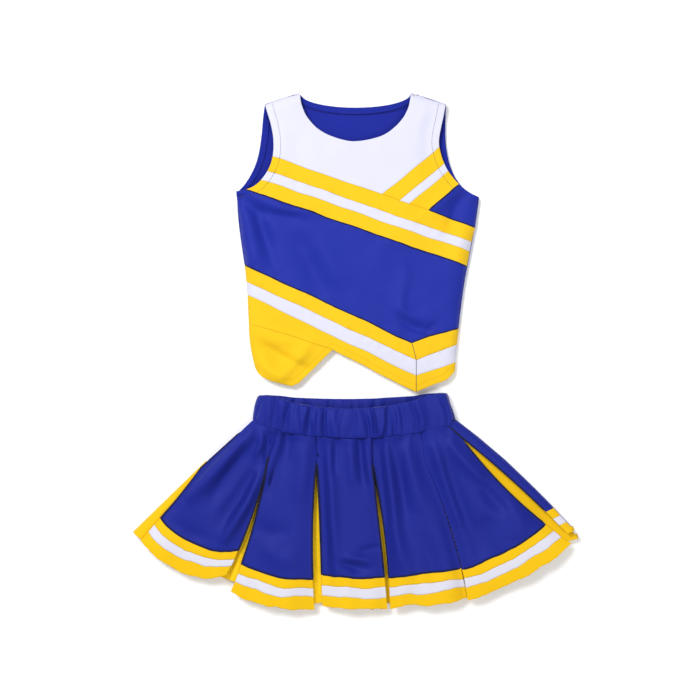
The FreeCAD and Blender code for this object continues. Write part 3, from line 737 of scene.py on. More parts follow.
def tube(
    name: str, runs: Iterable[Sequence[Vector]], radius: float, knit: Knit, flatness: float = 1.0
) -> bpy.types.Object:
    """A thread along some runs of points, as one object.

    Args:
        name: The piece's name.
        runs: The runs that the thread follows.
        radius: Half its width.
        knit: Its finish.
        flatness: Its height over its width.

    Returns:
        The thread.
    """
    bm = bmesh.new()
    sides = 6
    for run in runs:
        rings = []
        for i, point in enumerate(run):
            way = (run[min(i + 1, len(run) - 1)] - run[max(i - 1, 0)]).normalized()
            across = way.cross(Vector((0, 0, 1))).normalized()
            up = across.cross(way)
            narrow = radius * (0.45 if i in (0, len(run) - 1) else 1.0)
            rings.append(
                [
                    bm.verts.new(point + (across * math.cos(t) + up * math.sin(t) * flatness) * narrow)
                    for t in (2 * math.pi * k / sides for k in range(sides))
                ]
            )
        for a, b in zip(rings, rings[1:]):
            for k in range(sides):
                bm.faces.new((a[k], a[(k + 1) % sides], b[(k + 1) % sides], b[k]))
        bm.faces.new(rings[0][::-1])
        bm.faces.new(rings[-1])
    return closed_up(name, bm, knit)


def stitches(
    run: Sequence[Plan], height: Height, length: float, gap: float, proud: float
) -> list[list[Vector]]:
    """Cuts a run into single stitches that dip into the cloth at their ends."""
    path = np.array(run)
    steps = np.linalg.norm(np.diff(path, axis=0), axis=1)
    along = np.concatenate([[0.0], np.cumsum(steps)])
    out: list[list[Vector]] = []
    start = 0.0
    while start + length < along[-1]:
        marks = [start, start + length * 0.25, start + length * 0.75, start + length]
        xs, ys = (np.interp(marks, along, path[:, k]) for k in (0, 1))
        dips = [-0.0003, proud, proud, -0.0003]
        out.append([Vector((x, y, height(x, y) + d)) for x, y, d in zip(xs, ys, dips)])
        start += length + gap
    return out


def inset_run(run: Sequence[Plan], distance: float) -> list[Plan]:
    """Moves an open run to its left by a distance."""
    path = np.array(run)
    way = np.gradient(path, axis=0)
    way /= np.linalg.norm(way, axis=1)[:, None]
    return [tuple(p) for p in path + distance * np.stack([-way[:, 1], way[:, 0]], axis=1)]


# ---- the shell top ---------------------------------------------------------------------------------
TOP_FRONT = {
    "front_yoke": YOKE_WHITE,
    "branch_top_stripe": BAND_GOLD,
    "branch_white_stripe": BAND_WHITE,
    "branch_bottom_stripe": BAND_GOLD,
    "front_underarm_panel": TOP_BLUE,
    "upper_band_top_stripe": BAND_GOLD,
    "upper_band_white_stripe": BAND_WHITE,
    "upper_band_bottom_stripe": BAND_GOLD,
    "front_body_panel": TOP_BLUE,
    "lower_band_top_stripe": BAND_GOLD,
    "lower_band_white_stripe": BAND_WHITE,
    "lower_band_bottom_stripe": BAND_GOLD,
    "front_hem_flap": BAND_GOLD,
}
TOP_BACK = {
    "back_body_panel": LINING_BLUE,
    "back_band_top_stripe": BAND_GOLD,
    "back_band_white_stripe": BAND_WHITE,
    "back_band_bottom_stripe": BAND_GOLD,
    "back_hem_flap": BAND_GOLD,
}
COLOUR_SEAMS = (
    ("front_body_panel", "upper_band_bottom_stripe"),
    ("front_body_panel", "lower_band_top_stripe"),
    ("front_underarm_panel", "branch_bottom_stripe"),
    ("front_underarm_panel", "upper_band_top_stripe"),
)
BAND_SEAMS = COLOUR_SEAMS + (
    ("lower_band_top_stripe", "lower_band_white_stripe"),
    ("lower_band_white_stripe", "front_hem_flap"),
    ("upper_band_top_stripe", "upper_band_white_stripe"),
)
MITRE_OF = ("front_body_panel", "lower_band_top_stripe", "lower_band_white_stripe", "lower_band_bottom_stripe")
STRIPE_WIDTH = 0.022
FACING_CUT = 0.016
ALLOWANCE_CUT = 0.014
STITCH, STITCH_GAP = 0.0026, 0.0007
FACING_STITCHED = 0.0098  # how far the openings' topstitching lies in from their edge
HEM_THICKNESS = 0.0026


@dataclass
class ShellTop:
    """The sleeveless top: a front layer of thirteen pieces over a back layer of five."""

    frame: dict
    mesh: float = 0.0042
    side_round: float = 0.022
    back_round: float = 0.014
    shoulder_round: float = 0.016
    join: float = 0.0085
    relief: float = 1.5
    folds: tuple[Fold, ...] = (
        Fold(((-0.164, 0.218), (-0.139, 0.191), (-0.113, 0.112)), -0.0042, 0.0075, 1.4),
        Fold(((-0.160, 0.205), (-0.149, 0.160), (-0.138, 0.105)), 0.0030, 0.011),
        Fold(((-0.150, 0.216), (-0.105, 0.200), (-0.055, 0.190)), 0.0034, 0.0065, 1.8),
        Fold(((-0.146, 0.199), (-0.115, 0.189), (-0.080, 0.186)), -0.0022, 0.006),
        Fold(((-0.086, 0.170), (-0.068, 0.132), (-0.040, 0.070)), -0.0034, 0.016),
        Fold(((-0.055, 0.165), (-0.040, 0.130), (-0.015, 0.080)), 0.0020, 0.018),
        Fold(((0.072, 0.115), (0.066, 0.080), (0.060, 0.036)), 0.0026, 0.013, 0.5),
        Fold(((0.056, 0.048), (0.078, 0.034), (0.106, 0.023)), -0.0032, 0.0048, 1.5),
        Fold(((0.098, 0.022), (0.106, 0.030), (0.114, 0.040)), -0.0018, 0.004),
        Fold(((0.052, 0.064), (0.082, 0.048), (0.116, 0.046)), 0.0020, 0.009),
        Fold(((0.160, 0.224), (0.140, 0.200), (0.128, 0.166)), -0.0034, 0.008),
        Fold(((0.150, 0.232), (0.124, 0.212), (0.104, 0.196)), 0.0028, 0.008),
        Fold(((0.156, 0.176), (0.146, 0.146), (0.142, 0.112)), 0.0024, 0.010),
        Fold(((-0.120, 0.348), (-0.104, 0.312), (-0.098, 0.262)), 0.0016, 0.012),
        Fold(((0.112, 0.350), (0.100, 0.306), (0.102, 0.262)), -0.0018, 0.010),
        Fold(((0.104, 0.364), (0.122, 0.350), (0.131, 0.336)), 0.0022, 0.004),
        Fold(((-0.142, 0.032), (-0.112, 0.016), (-0.076, 0.010)), 0.0024, 0.010),
        Fold(((-0.136, 0.012), (-0.104, -0.008), (-0.062, -0.030)), -0.0046, 0.010, 0.6),
        Fold(((-0.062, 0.016), (-0.080, -0.012), (-0.112, -0.042)), 0.0040, 0.009),
        Fold(((-0.140, -0.010), (-0.124, -0.026), (-0.096, -0.044)), 0.0036, 0.008),
        Fold(((0.010, 0.004), (0.052, -0.020), (0.084, -0.050)), -0.0016, 0.012),
    )
    made: list[bpy.types.Object] = field(default_factory=list)

    def __post_init__(self) -> None:
        """Reads the levels of the two layers and cuts them."""
        self.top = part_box("front_body_panel")[1][2]
        self.side_low, self.side_high = (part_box("side_seam_left")[k][1] for k in (0, 1))
        self.shoulder_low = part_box("shoulder_seam_left")[0][1]
        self.neck_half = -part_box("shoulder_seam_left")[1][0]
        self.front = cut_layer({n: plan_loops(self.frame, n) for n in TOP_FRONT}, self.mesh)
        self.back = cut_layer({n: plan_loops(self.frame, n) for n in TOP_BACK}, self.mesh)

    def place_of(self, middle: Plan, normal: Plan) -> str:
        """Names the part of the outline that an outer edge belongs to."""
        x, y = middle
        if abs(x) < self.neck_half and y > self.side_high:
            return "neck"
        if y > self.shoulder_low and normal[1] > 0.8:
            return "shoulder"
        if y > self.side_high - 0.004:
            return "armhole"
        if y > self.side_low - 0.004 and abs(normal[0]) > 0.75:
            return "side"
        return "hem"

    def runs(self, layer: Cutting, part: str) -> list[list[Plan]]:
        """The runs of a layer's outline that lie along one part of it."""
        return layer.outline(lambda middle, normal: self.place_of(middle, normal) == part)

    def front_heights(self, points: np.ndarray) -> np.ndarray:
        """The front layer: flat, rounded down to its side and shoulder seams, with soft folds."""
        side = distance_to(points, self.runs(self.front, "side"))
        shoulder = distance_to(points, self.runs(self.front, "shoulder"))
        free = distance_to(points, self.runs(self.front, "armhole") + self.runs(self.front, "neck"))
        hem = distance_to(points, self.runs(self.front, "hem"))
        z = np.full(len(points), self.top - 0.0012)
        z -= 0.0030 * np.exp(-hem / 0.030) + 0.0022 * np.exp(-free / 0.020)
        for fold in self.folds:
            z += self.relief * fold.lift(points)
        z += ripple(points, 0.070, 0.0026, 3.0) + ripple(points, 0.024, 0.0010, 8.0)
        z += self.puckers(points)
        for near, reach in ((side, self.side_round), (shoulder, self.shoulder_round)):
            z = self.join + (z - self.join) * rounded(near, reach)
        return z

    def puckers(self, points: np.ndarray) -> np.ndarray:
        """Small drawn-up waves across the long seams of the bands."""
        seams: list[list[Plan]] = []
        for first, second in BAND_SEAMS:
            for run in self.front.seam_between(first, second):
                seams.append([tuple(self.front.points[i]) for i in run])
        near = distance_to(points, seams)
        return ripple(points, 0.0085, 0.0019, 15.0) * np.exp(-((near / 0.008) ** 2))

    def back_heights(self, points: np.ndarray) -> np.ndarray:
        """The back layer: on the surface, and up to the side and shoulder seams at its edges."""
        side = distance_to(points, self.runs(self.back, "side"))
        shoulder = distance_to(points, self.runs(self.back, "shoulder"))
        free = [run for part in ("armhole", "neck", "hem") for run in self.runs(self.back, part)]
        z = np.full(len(points), 0.0014) + np.abs(ripple(points, 0.060, 0.0012, 5.0))
        openings = distance_to(points, self.runs(self.back, "armhole"))
        z += np.abs(ripple(points, 0.022, 0.0052, 6.0, 0.5)) * np.exp(-openings / 0.030)
        z += HEM_THICKNESS * np.exp(-distance_to(points, free) / 0.010)
        for near, reach in ((side, self.back_round), (shoulder, self.shoulder_round)):
            z = self.join - (self.join - z) * rounded(near, reach)
        return z

    def height_over(self, layer: Cutting, heights: np.ndarray) -> Height:
        """A function that reads a layer's height at a place."""
        def read(x: float, y: float) -> float:
            near = np.argsort(np.sum((layer.points - (x, y)) ** 2, axis=1))[:3]
            gap = np.linalg.norm(layer.points[near] - (x, y), axis=1) + 1e-5
            return float(np.sum(heights[near] / gap) / np.sum(1 / gap))
        return read

    def style(self, name: str, middle: Plan, normal: Plan) -> Edge:
        """How an outer edge of the top is finished."""
        part = self.place_of(middle, normal)
        return Edge.RAW if part in ("side", "shoulder") else Edge.HEM

    def facing(self, node: str, low: bool, offset: float, reader: Height, name: str) -> bpy.types.Object:
        """A turned strip that follows its layer a little below or above it."""
        layer = cut_layer({node: plan_loops(self.frame, node, low)}, self.mesh)
        heights = np.array([reader(x, y) for x, y in layer.points]) + offset
        cloth = Cloth(thickness=0.0006, groove=0.0)
        obj = cloth.pieces(layer, heights, {node: LINING_BLUE}, raw_edge)[node]
        obj.name = name
        return obj

    def seam_wall(self, node: str, part: str) -> bpy.types.Object:
        """The turned seam allowance inside a side or shoulder seam."""
        left = "left" in node
        bm = bmesh.new()
        for run in self.runs(self.front, part):
            if (run[0][0] < 0) != left:
                continue
            inner = inset_run(run, 0.0016)
            deep = inset_run(run, 0.0085)
            for level in (0.0, 0.0011):
                z = self.join - 0.0016 + level
                rows = [
                    [bm.verts.new((x, y, z)) for x, y in inner],
                    [bm.verts.new((x, y, z - 0.0010)) for x, y in deep],
                ]
                for i in range(len(run) - 1):
                    bm.faces.new((rows[0][i], rows[0][i + 1], rows[1][i + 1], rows[1][i]))
        return closed_up(node + "_allowance", bm, LINING_BLUE, 0.0005)

    def build(self) -> None:
        """Makes every piece of the top."""
        heights = self.front_heights(self.front.points)
        under = self.back_heights(self.back.points)
        for axis, seed in ((0, 33.0), (1, 36.0)):
            wave = ripple(self.front.points, 0.040, 0.0016, seed)
            self.front.points[:, axis] += wave + ripple(self.front.points, 0.012, 0.0003, seed + 1)
        cloth = Cloth()
        front = cloth.pieces(self.front, heights, TOP_FRONT, self.style, "_cloth")
        back = cloth.pieces(self.back, under, TOP_BACK, self.style, "_cloth")
        for group, rests in ((front, ["back_body_panel_cloth"]), (back, ["floor"])):
            for name, obj in group.items():
                self.keep(obj, name)
                stripe = STRIPE_WIDTH if "stripe" in name else 0.0
                declare(stripe)
        over, below = self.height_over(self.front, heights), self.height_over(self.back, under)
        self.build_facings(over, below)
        self.build_threads(heights, over, below)
        for obj in self.made:
            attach(obj, "top")
        log.info("shell top: %d pieces", len(self.made))

    def keep(self, obj: bpy.types.Object, *nodes: str) -> None:
        """Counts a piece in, and hides the CAD nodes that it stands for."""
        self.made.append(obj)
        if nodes:
            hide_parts(*nodes)

    def build_facings(self, over: Height, below: Height) -> None:
        """The neck and armhole facings and the seam allowances."""
        drop, rise = -0.0016, 0.0013
        for node, low, offset, reader in (
            ("front_neck_facing", False, drop, over),
            ("back_neck_facing", False, rise, below),
            ("armhole_facing_left", False, drop, over),
            ("armhole_facing_right", False, drop, over),
        ):
            obj = self.facing(node, low, offset, reader, node + "_strip")
            self.keep(obj, node)
            declare(FACING_CUT)
        for side in ("left", "right"):
            obj = self.facing("armhole_facing_" + side, True, rise, below, "back_armhole_facing_" + side)
            self.keep(obj, "armhole_facing_" + side)
            declare(FACING_CUT)
        for part in ("side", "shoulder"):
            for side in ("left", "right"):
                node = "%s_seam_%s" % (part, side)
                obj = self.seam_wall(node, part)
                self.keep(obj, node)
                declare(ALLOWANCE_CUT)

    def build_threads(self, heights: np.ndarray, over: Height, below: Height) -> None:
        """The topstitching round the openings and the hem, and the dark thread in the colour seams, which also
        paints the seams' shade.
        """
        for part, inset, knit in (("armhole", FACING_STITCHED, GREY_THREAD), ("hem", 0.0085, GOLD_THREAD)):
            sewn: list[list[Vector]] = []
            for run in self.runs(self.front, part):
                if len(run) > 8:
                    sewn += stitches(inset_run(run, inset), over, STITCH, STITCH_GAP, 0.0002)
            self.keep(tube(part + "_topstitch", sewn, 0.00028, knit))
        sewn = []
        for run in self.runs(self.back, "neck"):
            path = inset_run(run, FACING_STITCHED)
            sewn += stitches(path, lambda x, y: below(x, y) + 0.0012, STITCH, STITCH_GAP, 0.0004)
        self.keep(tube("back_neck_topstitch", sewn, 0.0003, DARK_THREAD_AND_SEAM_SHADE))
        # A wide dark thread along the colour seams: thread, and painted shade in the seams.
        runs = []
        for first, second in COLOUR_SEAMS:
            for run in self.front.seam_between(first, second):
                runs.append([Vector((*self.front.points[i], heights[i] - 0.0003)) for i in run])
        self.keep(tube("colour_seam_thread", runs, 0.0013, DARK_THREAD_AND_SEAM_SHADE, 0.4))
        corners = [min(plan_loops(self.frame, node)[0], key=lambda p: p[1]) for node in MITRE_OF]
        mitre = [Vector((x, y, over(x, y) + 0.00005)) for x, y in divided(corners, 0.003, False)]
        self.keep(tube("mitre_seam_thread", [mitre], 0.0004, GREY_THREAD))


# ---- the skirt -------------------------------------------------------------------------------------
INSERT_LOW, INSERT_RISE = 0.0105, 0.0042
CLOSED_SHARE = 1.2
HEM_STRIPE_CUT, BACK_STRIPE_CUT, SIDE_STRIPE_CUT = 0.020, 0.022, 0.016
CASING_CUT, WALL_CUT = 0.088, 0.018
STRIPES = ("hem_bottom_stripe", "hem_white_stripe", "hem_top_stripe")


@dataclass(frozen=True)
class Flute:
    """How one pleat panel lies: its crown, its hem waves, how its two folds sit and its own folds."""

    crown: float
    waves: tuple[tuple[float, float, float], ...]
    left_drop: float
    right_drop: float
    folds: tuple[Fold, ...]
    sewn: tuple[str, ...] = ("left", "right")


FLUTES = (
    Flute(
        0.0030,
        ((0.0020, 1.0, 0.15), (0.0008, 2.5, 0.6)),
        0.0034,
        0.0036,
        (
            Fold(((-0.132, -0.100), (-0.176, -0.144), (-0.240, -0.212)), 0.0080, 0.0085, 1.3),
            Fold(((-0.148, -0.128), (-0.168, -0.160), (-0.205, -0.214)), -0.0046, 0.009),
            Fold(((-0.128, -0.160), (-0.150, -0.208), (-0.188, -0.272)), 0.0080, 0.0075),
            Fold(((-0.140, -0.166), (-0.164, -0.206), (-0.190, -0.240)), -0.0050, 0.009),
            Fold(((-0.128, -0.108), (-0.133, -0.132), (-0.142, -0.150)), 0.0042, 0.0045),
            Fold(((-0.118, -0.112), (-0.121, -0.134), (-0.126, -0.160)), -0.0034, 0.0045),
            Fold(((-0.262, -0.236), (-0.230, -0.256), (-0.205, -0.262)), -0.0018, 0.010),
        ),
    ),
    Flute(
        0.0046,
        ((0.0020, 1.4, 0.5), (0.0008, 3.0, 0.1)),
        0.0036,
        0.0034,
        (
            Fold(((-0.104, -0.114), (-0.116, -0.150), (-0.130, -0.196)), 0.0040, 0.0075),
            Fold(((-0.094, -0.116), (-0.104, -0.152), (-0.128, -0.206)), -0.0036, 0.009),
            Fold(((-0.070, -0.118), (-0.072, -0.160), (-0.080, -0.215)), 0.0030, 0.012),
            Fold(((-0.130, -0.270), (-0.106, -0.290), (-0.076, -0.290)), 0.0022, 0.013),
            Fold(((-0.140, -0.246), (-0.116, -0.256), (-0.092, -0.248)), -0.0020, 0.011),
        ),
    ),
    Flute(
        0.0040,
        ((0.0022, 1.2, 0.8), (0.0008, 2.6, 0.3)),
        0.0038,
        0.0032,
        (
            Fold(((-0.047, -0.140), (-0.043, -0.220), (-0.036, -0.330)), -0.0040, 0.0055),
            Fold(((-0.036, -0.120), (-0.034, -0.215), (-0.028, -0.320)), 0.0044, 0.0085),
            Fold(((-0.026, -0.118), (-0.028, -0.142), (-0.030, -0.178)), -0.0032, 0.0045),
            Fold(((-0.008, -0.122), (-0.006, -0.150), (-0.004, -0.190)), 0.0030, 0.007),
            Fold(((0.006, -0.122), (0.007, -0.148), (0.011, -0.190)), -0.0036, 0.005),
            Fold(((0.014, -0.122), (0.019, -0.160), (0.027, -0.215)), 0.0038, 0.0055),
            Fold(((-0.024, -0.296), (0.000, -0.303), (0.020, -0.304)), -0.0034, 0.0055, 1.5),
            Fold(((-0.020, -0.288), (0.004, -0.290), (0.024, -0.296)), 0.0028, 0.006),
            Fold(((0.002, -0.282), (0.018, -0.278), (0.036, -0.274)), -0.0026, 0.0055),
        ),
    ),
    Flute(
        0.0046,
        ((0.0022, 1.6, 0.2), (0.0010, 2.8, 0.9)),
        0.0034,
        0.0036,
        (
            Fold(((0.029, -0.122), (0.036, -0.170), (0.045, -0.240)), -0.0042, 0.0060),
            Fold(((0.040, -0.122), (0.050, -0.200), (0.062, -0.310)), 0.0048, 0.0085),
            Fold(((0.052, -0.122), (0.060, -0.170), (0.072, -0.235)), -0.0036, 0.008),
            Fold(((0.068, -0.120), (0.078, -0.165), (0.094, -0.230)), 0.0040, 0.011),
            Fold(((0.060, -0.250), (0.072, -0.300), (0.078, -0.345)), 0.0030, 0.010),
            Fold(((0.090, -0.250), (0.104, -0.292), (0.112, -0.335)), -0.0028, 0.012),
        ),
        ("left",),
    ),
    Flute(
        0.0040,
        ((0.0026, 1.2, 0.4), (0.0008, 2.4, 0.0)),
        0.0038,
        0.0030,
        (
            Fold(((0.106, -0.122), (0.122, -0.172), (0.150, -0.250)), 0.0060, 0.0080),
            Fold(((0.118, -0.150), (0.138, -0.205), (0.164, -0.262)), -0.0046, 0.010),
            Fold(((0.126, -0.122), (0.150, -0.152), (0.186, -0.190)), 0.0042, 0.009),
            Fold(((0.170, -0.176), (0.192, -0.208), (0.214, -0.228)), -0.0034, 0.009),
            Fold(((0.190, -0.230), (0.176, -0.256), (0.170, -0.290)), -0.0030, 0.012),
            Fold(((0.214, -0.206), (0.226, -0.236), (0.226, -0.266)), 0.0030, 0.014),
        ),
        ("right",),
    ),
)


@dataclass
class Pleats:
    """The five front panels with their hem stripes, and the inserts between them."""

    frame: dict
    mesh: float = 0.0034
    seam_level: float = 0.0232
    relief: float = 1.6
    stitched: float = 0.036
    closing: float = 0.00055
    flutes: tuple[Flute, ...] = FLUTES
    made: list[bpy.types.Object] = field(default_factory=list)

    def __post_init__(self) -> None:
        """Cuts the panels."""
        self.joints = {j["name"]: j for j in self.frame["record"]["behaviour"]["joints"]}
        self.layers = {k: cut_layer(self.outlines(k), self.mesh) for k in range(1, len(self.flutes) + 1)}

    def outlines(self, index: int) -> dict[str, list[list[Plan]]]:
        """The outlines of a panel and its stripes."""
        names = ["pleat_panel_%d" % index] + ["%s_%d" % (s, index) for s in STRIPES]
        return {n: plan_loops(self.frame, n) for n in names}

    def part_of(self, normal: Plan) -> str:
        """Which side of a panel an outer edge is on."""
        if normal[1] < -0.6:
            return "hem"
        if normal[1] > 0.85:
            return "waist"
        return "left" if normal[0] < 0 else "right"

    def runs(self, layer: Cutting, part: str) -> list[list[Plan]]:
        """The runs of a panel's outline along one side."""
        return layer.outline(lambda middle, normal: self.part_of(normal) == part)

    def heights(self, index: int, points: np.ndarray) -> np.ndarray:
        """The surface of a panel: crowned between its folds and waved towards its hem."""
        layer, flute = self.layers[index], self.flutes[index - 1]
        sides = ("left", "right", "waist", "hem")
        near = {part: distance_to(points, self.runs(layer, part)) for part in sides}
        u = near["left"] / (near["left"] + near["right"] + 1e-6)
        v = near["waist"] / (near["waist"] + near["hem"] + 1e-6)
        z = self.seam_level + flute.crown * 4 * u * (1 - u) * v**0.8
        for depth, count, phase in flute.waves:
            z += depth * np.sin(2 * np.pi * (count * u + phase)) * v**1.6
        for fold in flute.folds:
            z += self.relief * fold.lift(points)
        z += ripple(points, 0.045, 0.0024, 20.0 + index, 0.6) * (0.3 + 0.7 * v)
        z = between(z, 0.0195, 0.0355)
        z -= flute.left_drop * np.exp(-((near["left"] / 0.009) ** 2)) * v**0.5
        z -= flute.right_drop * np.exp(-((near["right"] / 0.009) ** 2)) * v**0.5
        z += gathers(points[:, 0], near["waist"], index)
        return z + 0.0022 * np.exp(-((near["waist"] / 0.006) ** 2))

    def style(self, name: str, middle: Plan, normal: Plan) -> Edge:
        """How an outer edge of a panel is finished."""
        part = self.part_of(normal)
        if part == "hem":
            return Edge.HEM
        return Edge.RAW if part == "waist" else Edge.FOLD

    def build(self) -> None:
        """Makes the panels, their stripes and the inserts."""
        for index, layer in self.layers.items():
            finish = {n: SKIRT_GOLD for n in layer.panel}
            finish["pleat_panel_%d" % index] = SKIRT_BLUE
            finish["hem_white_stripe_%d" % index] = BRAID_WHITE
            heights = self.heights(index, layer.points)
            self.waver(index, layer)
            thread_and_shade_runs = self.thread_and_shade_edges(index, heights)
            self.close_above(index, layer)
            made = Cloth(groove=0.0004).pieces(layer, heights, finish, self.style, "_cloth")
            pivot = self.joints["pleat_%d_flare" % index]["pos_m"]
            for name, obj in made.items():
                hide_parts(name)
                declare(HEM_STRIPE_CUT if "stripe" in name else 0.0)
                self.made.append(obj)
                bend_over(obj, index, pivot)
            # The dark thread down the folds and along the hem seam also paints the shade at these edges.
            sewn = tube("pleat_%d_edge_thread" % index, thread_and_shade_runs, 0.0014, DARK_THREAD_AND_SEAM_SHADE, 0.4)
            self.made.append(sewn)
            bend_over(sewn, index, pivot)
        self.build_inserts()
        log.info("pleats: %d pieces", len(self.made))

    def waver(self, index: int, layer: Cutting) -> None:
        """Makes a panel's hem and the seams of its stripes run a little unevenly."""
        near = distance_to(layer.points, self.runs(layer, "hem"))
        wave = ripple(layer.points, 0.030, 0.0042, 50.0 + index)
        wave += ripple(layer.points, 0.009, 0.0012, 80.0 + index)
        layer.points[:, 1] += wave * np.exp(-((near / 0.050) ** 2))

    def close_above(self, index: int, layer: Cutting) -> None:
        """Brings the sides of a panel out to its neighbours where the pleat is stitched down."""
        near = distance_to(layer.points, self.runs(layer, "waist"))
        moves = np.zeros_like(layer.points)
        for a, b, _, normal in layer.outer_edges():
            side = self.part_of(normal)
            if side not in ("left", "right"):
                continue
            for i in (a, b):
                share = 1 / (1 + math.exp((near[i] - self.stitched) / 0.004))
                if side not in self.flutes[index - 1].sewn:
                    share = 1 + CLOSED_SHARE * min(1.0, max(0.0, (near[i] - self.stitched) / 0.060))
                moves[i] = np.array(normal) * self.closing * share
        layer.points += moves

    def thread_and_shade_edges(self, index: int, heights: np.ndarray) -> list[list[Vector]]:
        """Where the dark thread shows on a panel, down its two folds and along its hem's top seam; it also
        paints the shade at these edges.
        """
        layer = self.layers[index]
        panel = "pleat_panel_%d" % index
        low = distance_to(layer.points, self.runs(layer, "waist")) > self.stitched
        cloth = [t for t, name in zip(layer.triangles, layer.panel) if name == panel]
        blue = {i for t in cloth for i in t if low[i]}
        runs = layer.seam_between(panel, "hem_top_stripe_%d" % index)
        for a, b, _, normal in layer.outer_edges():
            if a in blue and b in blue and self.part_of(normal) in self.flutes[index - 1].sewn:
                runs.append([a, b])
        joined = chained([(a, b) for run in runs for a, b in zip(run, run[1:])])
        shown = [run for run in joined if len(run) > 4]
        return [[Vector((*layer.points[i], heights[i] + 0.0001)) for i in run] for run in shown]

    def build_inserts(self) -> None:
        """The inserts between two panels, each in two halves.

        The half called left lies right of the middle, and the other left of it. Each is tied to the
        panel past the other half, so nearly all of it stays with the skirt when a pleat swings.
        """
        for index in range(1, len(self.flutes)):
            node = "pleat_insert_%d" % index
            loop = plan_loops(self.frame, node)[0]
            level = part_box(node)[1][2]
            top = sorted(loop, key=lambda p: -p[1])
            low = sorted(loop, key=lambda p: p[1])[:2]
            start = np.array((sum(p[0] for p in top[:2]) / 2, top[0][1]))
            end = np.array((sum(p[0] for p in low) / 2, sum(p[1] for p in low) / 2))
            layer = cut_layer({node: [loop]}, self.mesh)
            way = end - start
            length = np.linalg.norm(way)
            way /= length
            rel = layer.points - start
            off = rel[:, 0] * way[1] - rel[:, 1] * way[0]
            down = np.clip(rel @ way / length, 0, 1)
            z = INSERT_LOW + INSERT_RISE * (1 - np.exp(-np.abs(off) / 0.010))
            z += 0.0008 * np.sin(off * 260 + 3 * down + index) * down
            for side, sign, panel in (("left", 1, index), ("right", -1, index + 1)):
                tris = [t for t in layer.triangles if sign * np.mean(off[list(t)]) <= 0]
                half = Cutting(layer.points, tris, [node] * len(tris))
                name = "%s_%s_half" % (node, side)
                cloth = Cloth(groove=0.0)
                # The inserts wear the lighter gold, painted light against the shade in the slits.
                obj = cloth.pieces(half, z, {node: INSERT_GOLD_PAINTED_BRIGHT}, insert_edge)[node]
                obj.name = name
                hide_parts(node)
                declare()
                self.made.append(obj)
                middle = Vector((*start, level))
                aside = Vector((-way[1], way[0], 0)) * -sign
                follows = "pleat_%d" % panel
                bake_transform(obj, "skirt", follows, start=tuple(middle), end=tuple(middle + aside * 0.012))


def between(z: np.ndarray, low: float, high: float, soft: float = 0.0012) -> np.ndarray:
    """Bends some heights smoothly to stay between two levels."""
    z = low + soft * np.logaddexp(0, (z - low) / soft)
    return high - soft * np.logaddexp(0, (high - z) / soft)


def gathers(x: np.ndarray, depth: np.ndarray, seed: float) -> np.ndarray:
    """Small puckers that run down from the waist seam and fade out."""
    broad = np.array([noise.noise(Vector((value / 0.0110, seed * 3.1, 0.5))) for value in x])
    fine = np.array([noise.noise(Vector((value / 0.0048, seed * 1.7, 7.5))) for value in x])
    return 0.0062 * broad * np.exp(-depth / 0.026) + 0.0018 * fine * np.exp(-depth / 0.010)


def bend_over(obj: bpy.types.Object, index: int, pivot: Sequence[float]) -> None:
    """Lets a panel bend from the waist seam down as its pleat swings out."""
    start = (pivot[0], pivot[1] - 0.012, pivot[2])
    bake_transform(obj, "skirt", "pleat_%d" % index, start=start, end=(pivot[0], pivot[1] - 0.060, pivot[2]))


WAIST_TAPER, WAIST_RISE = 0.070, 0.036


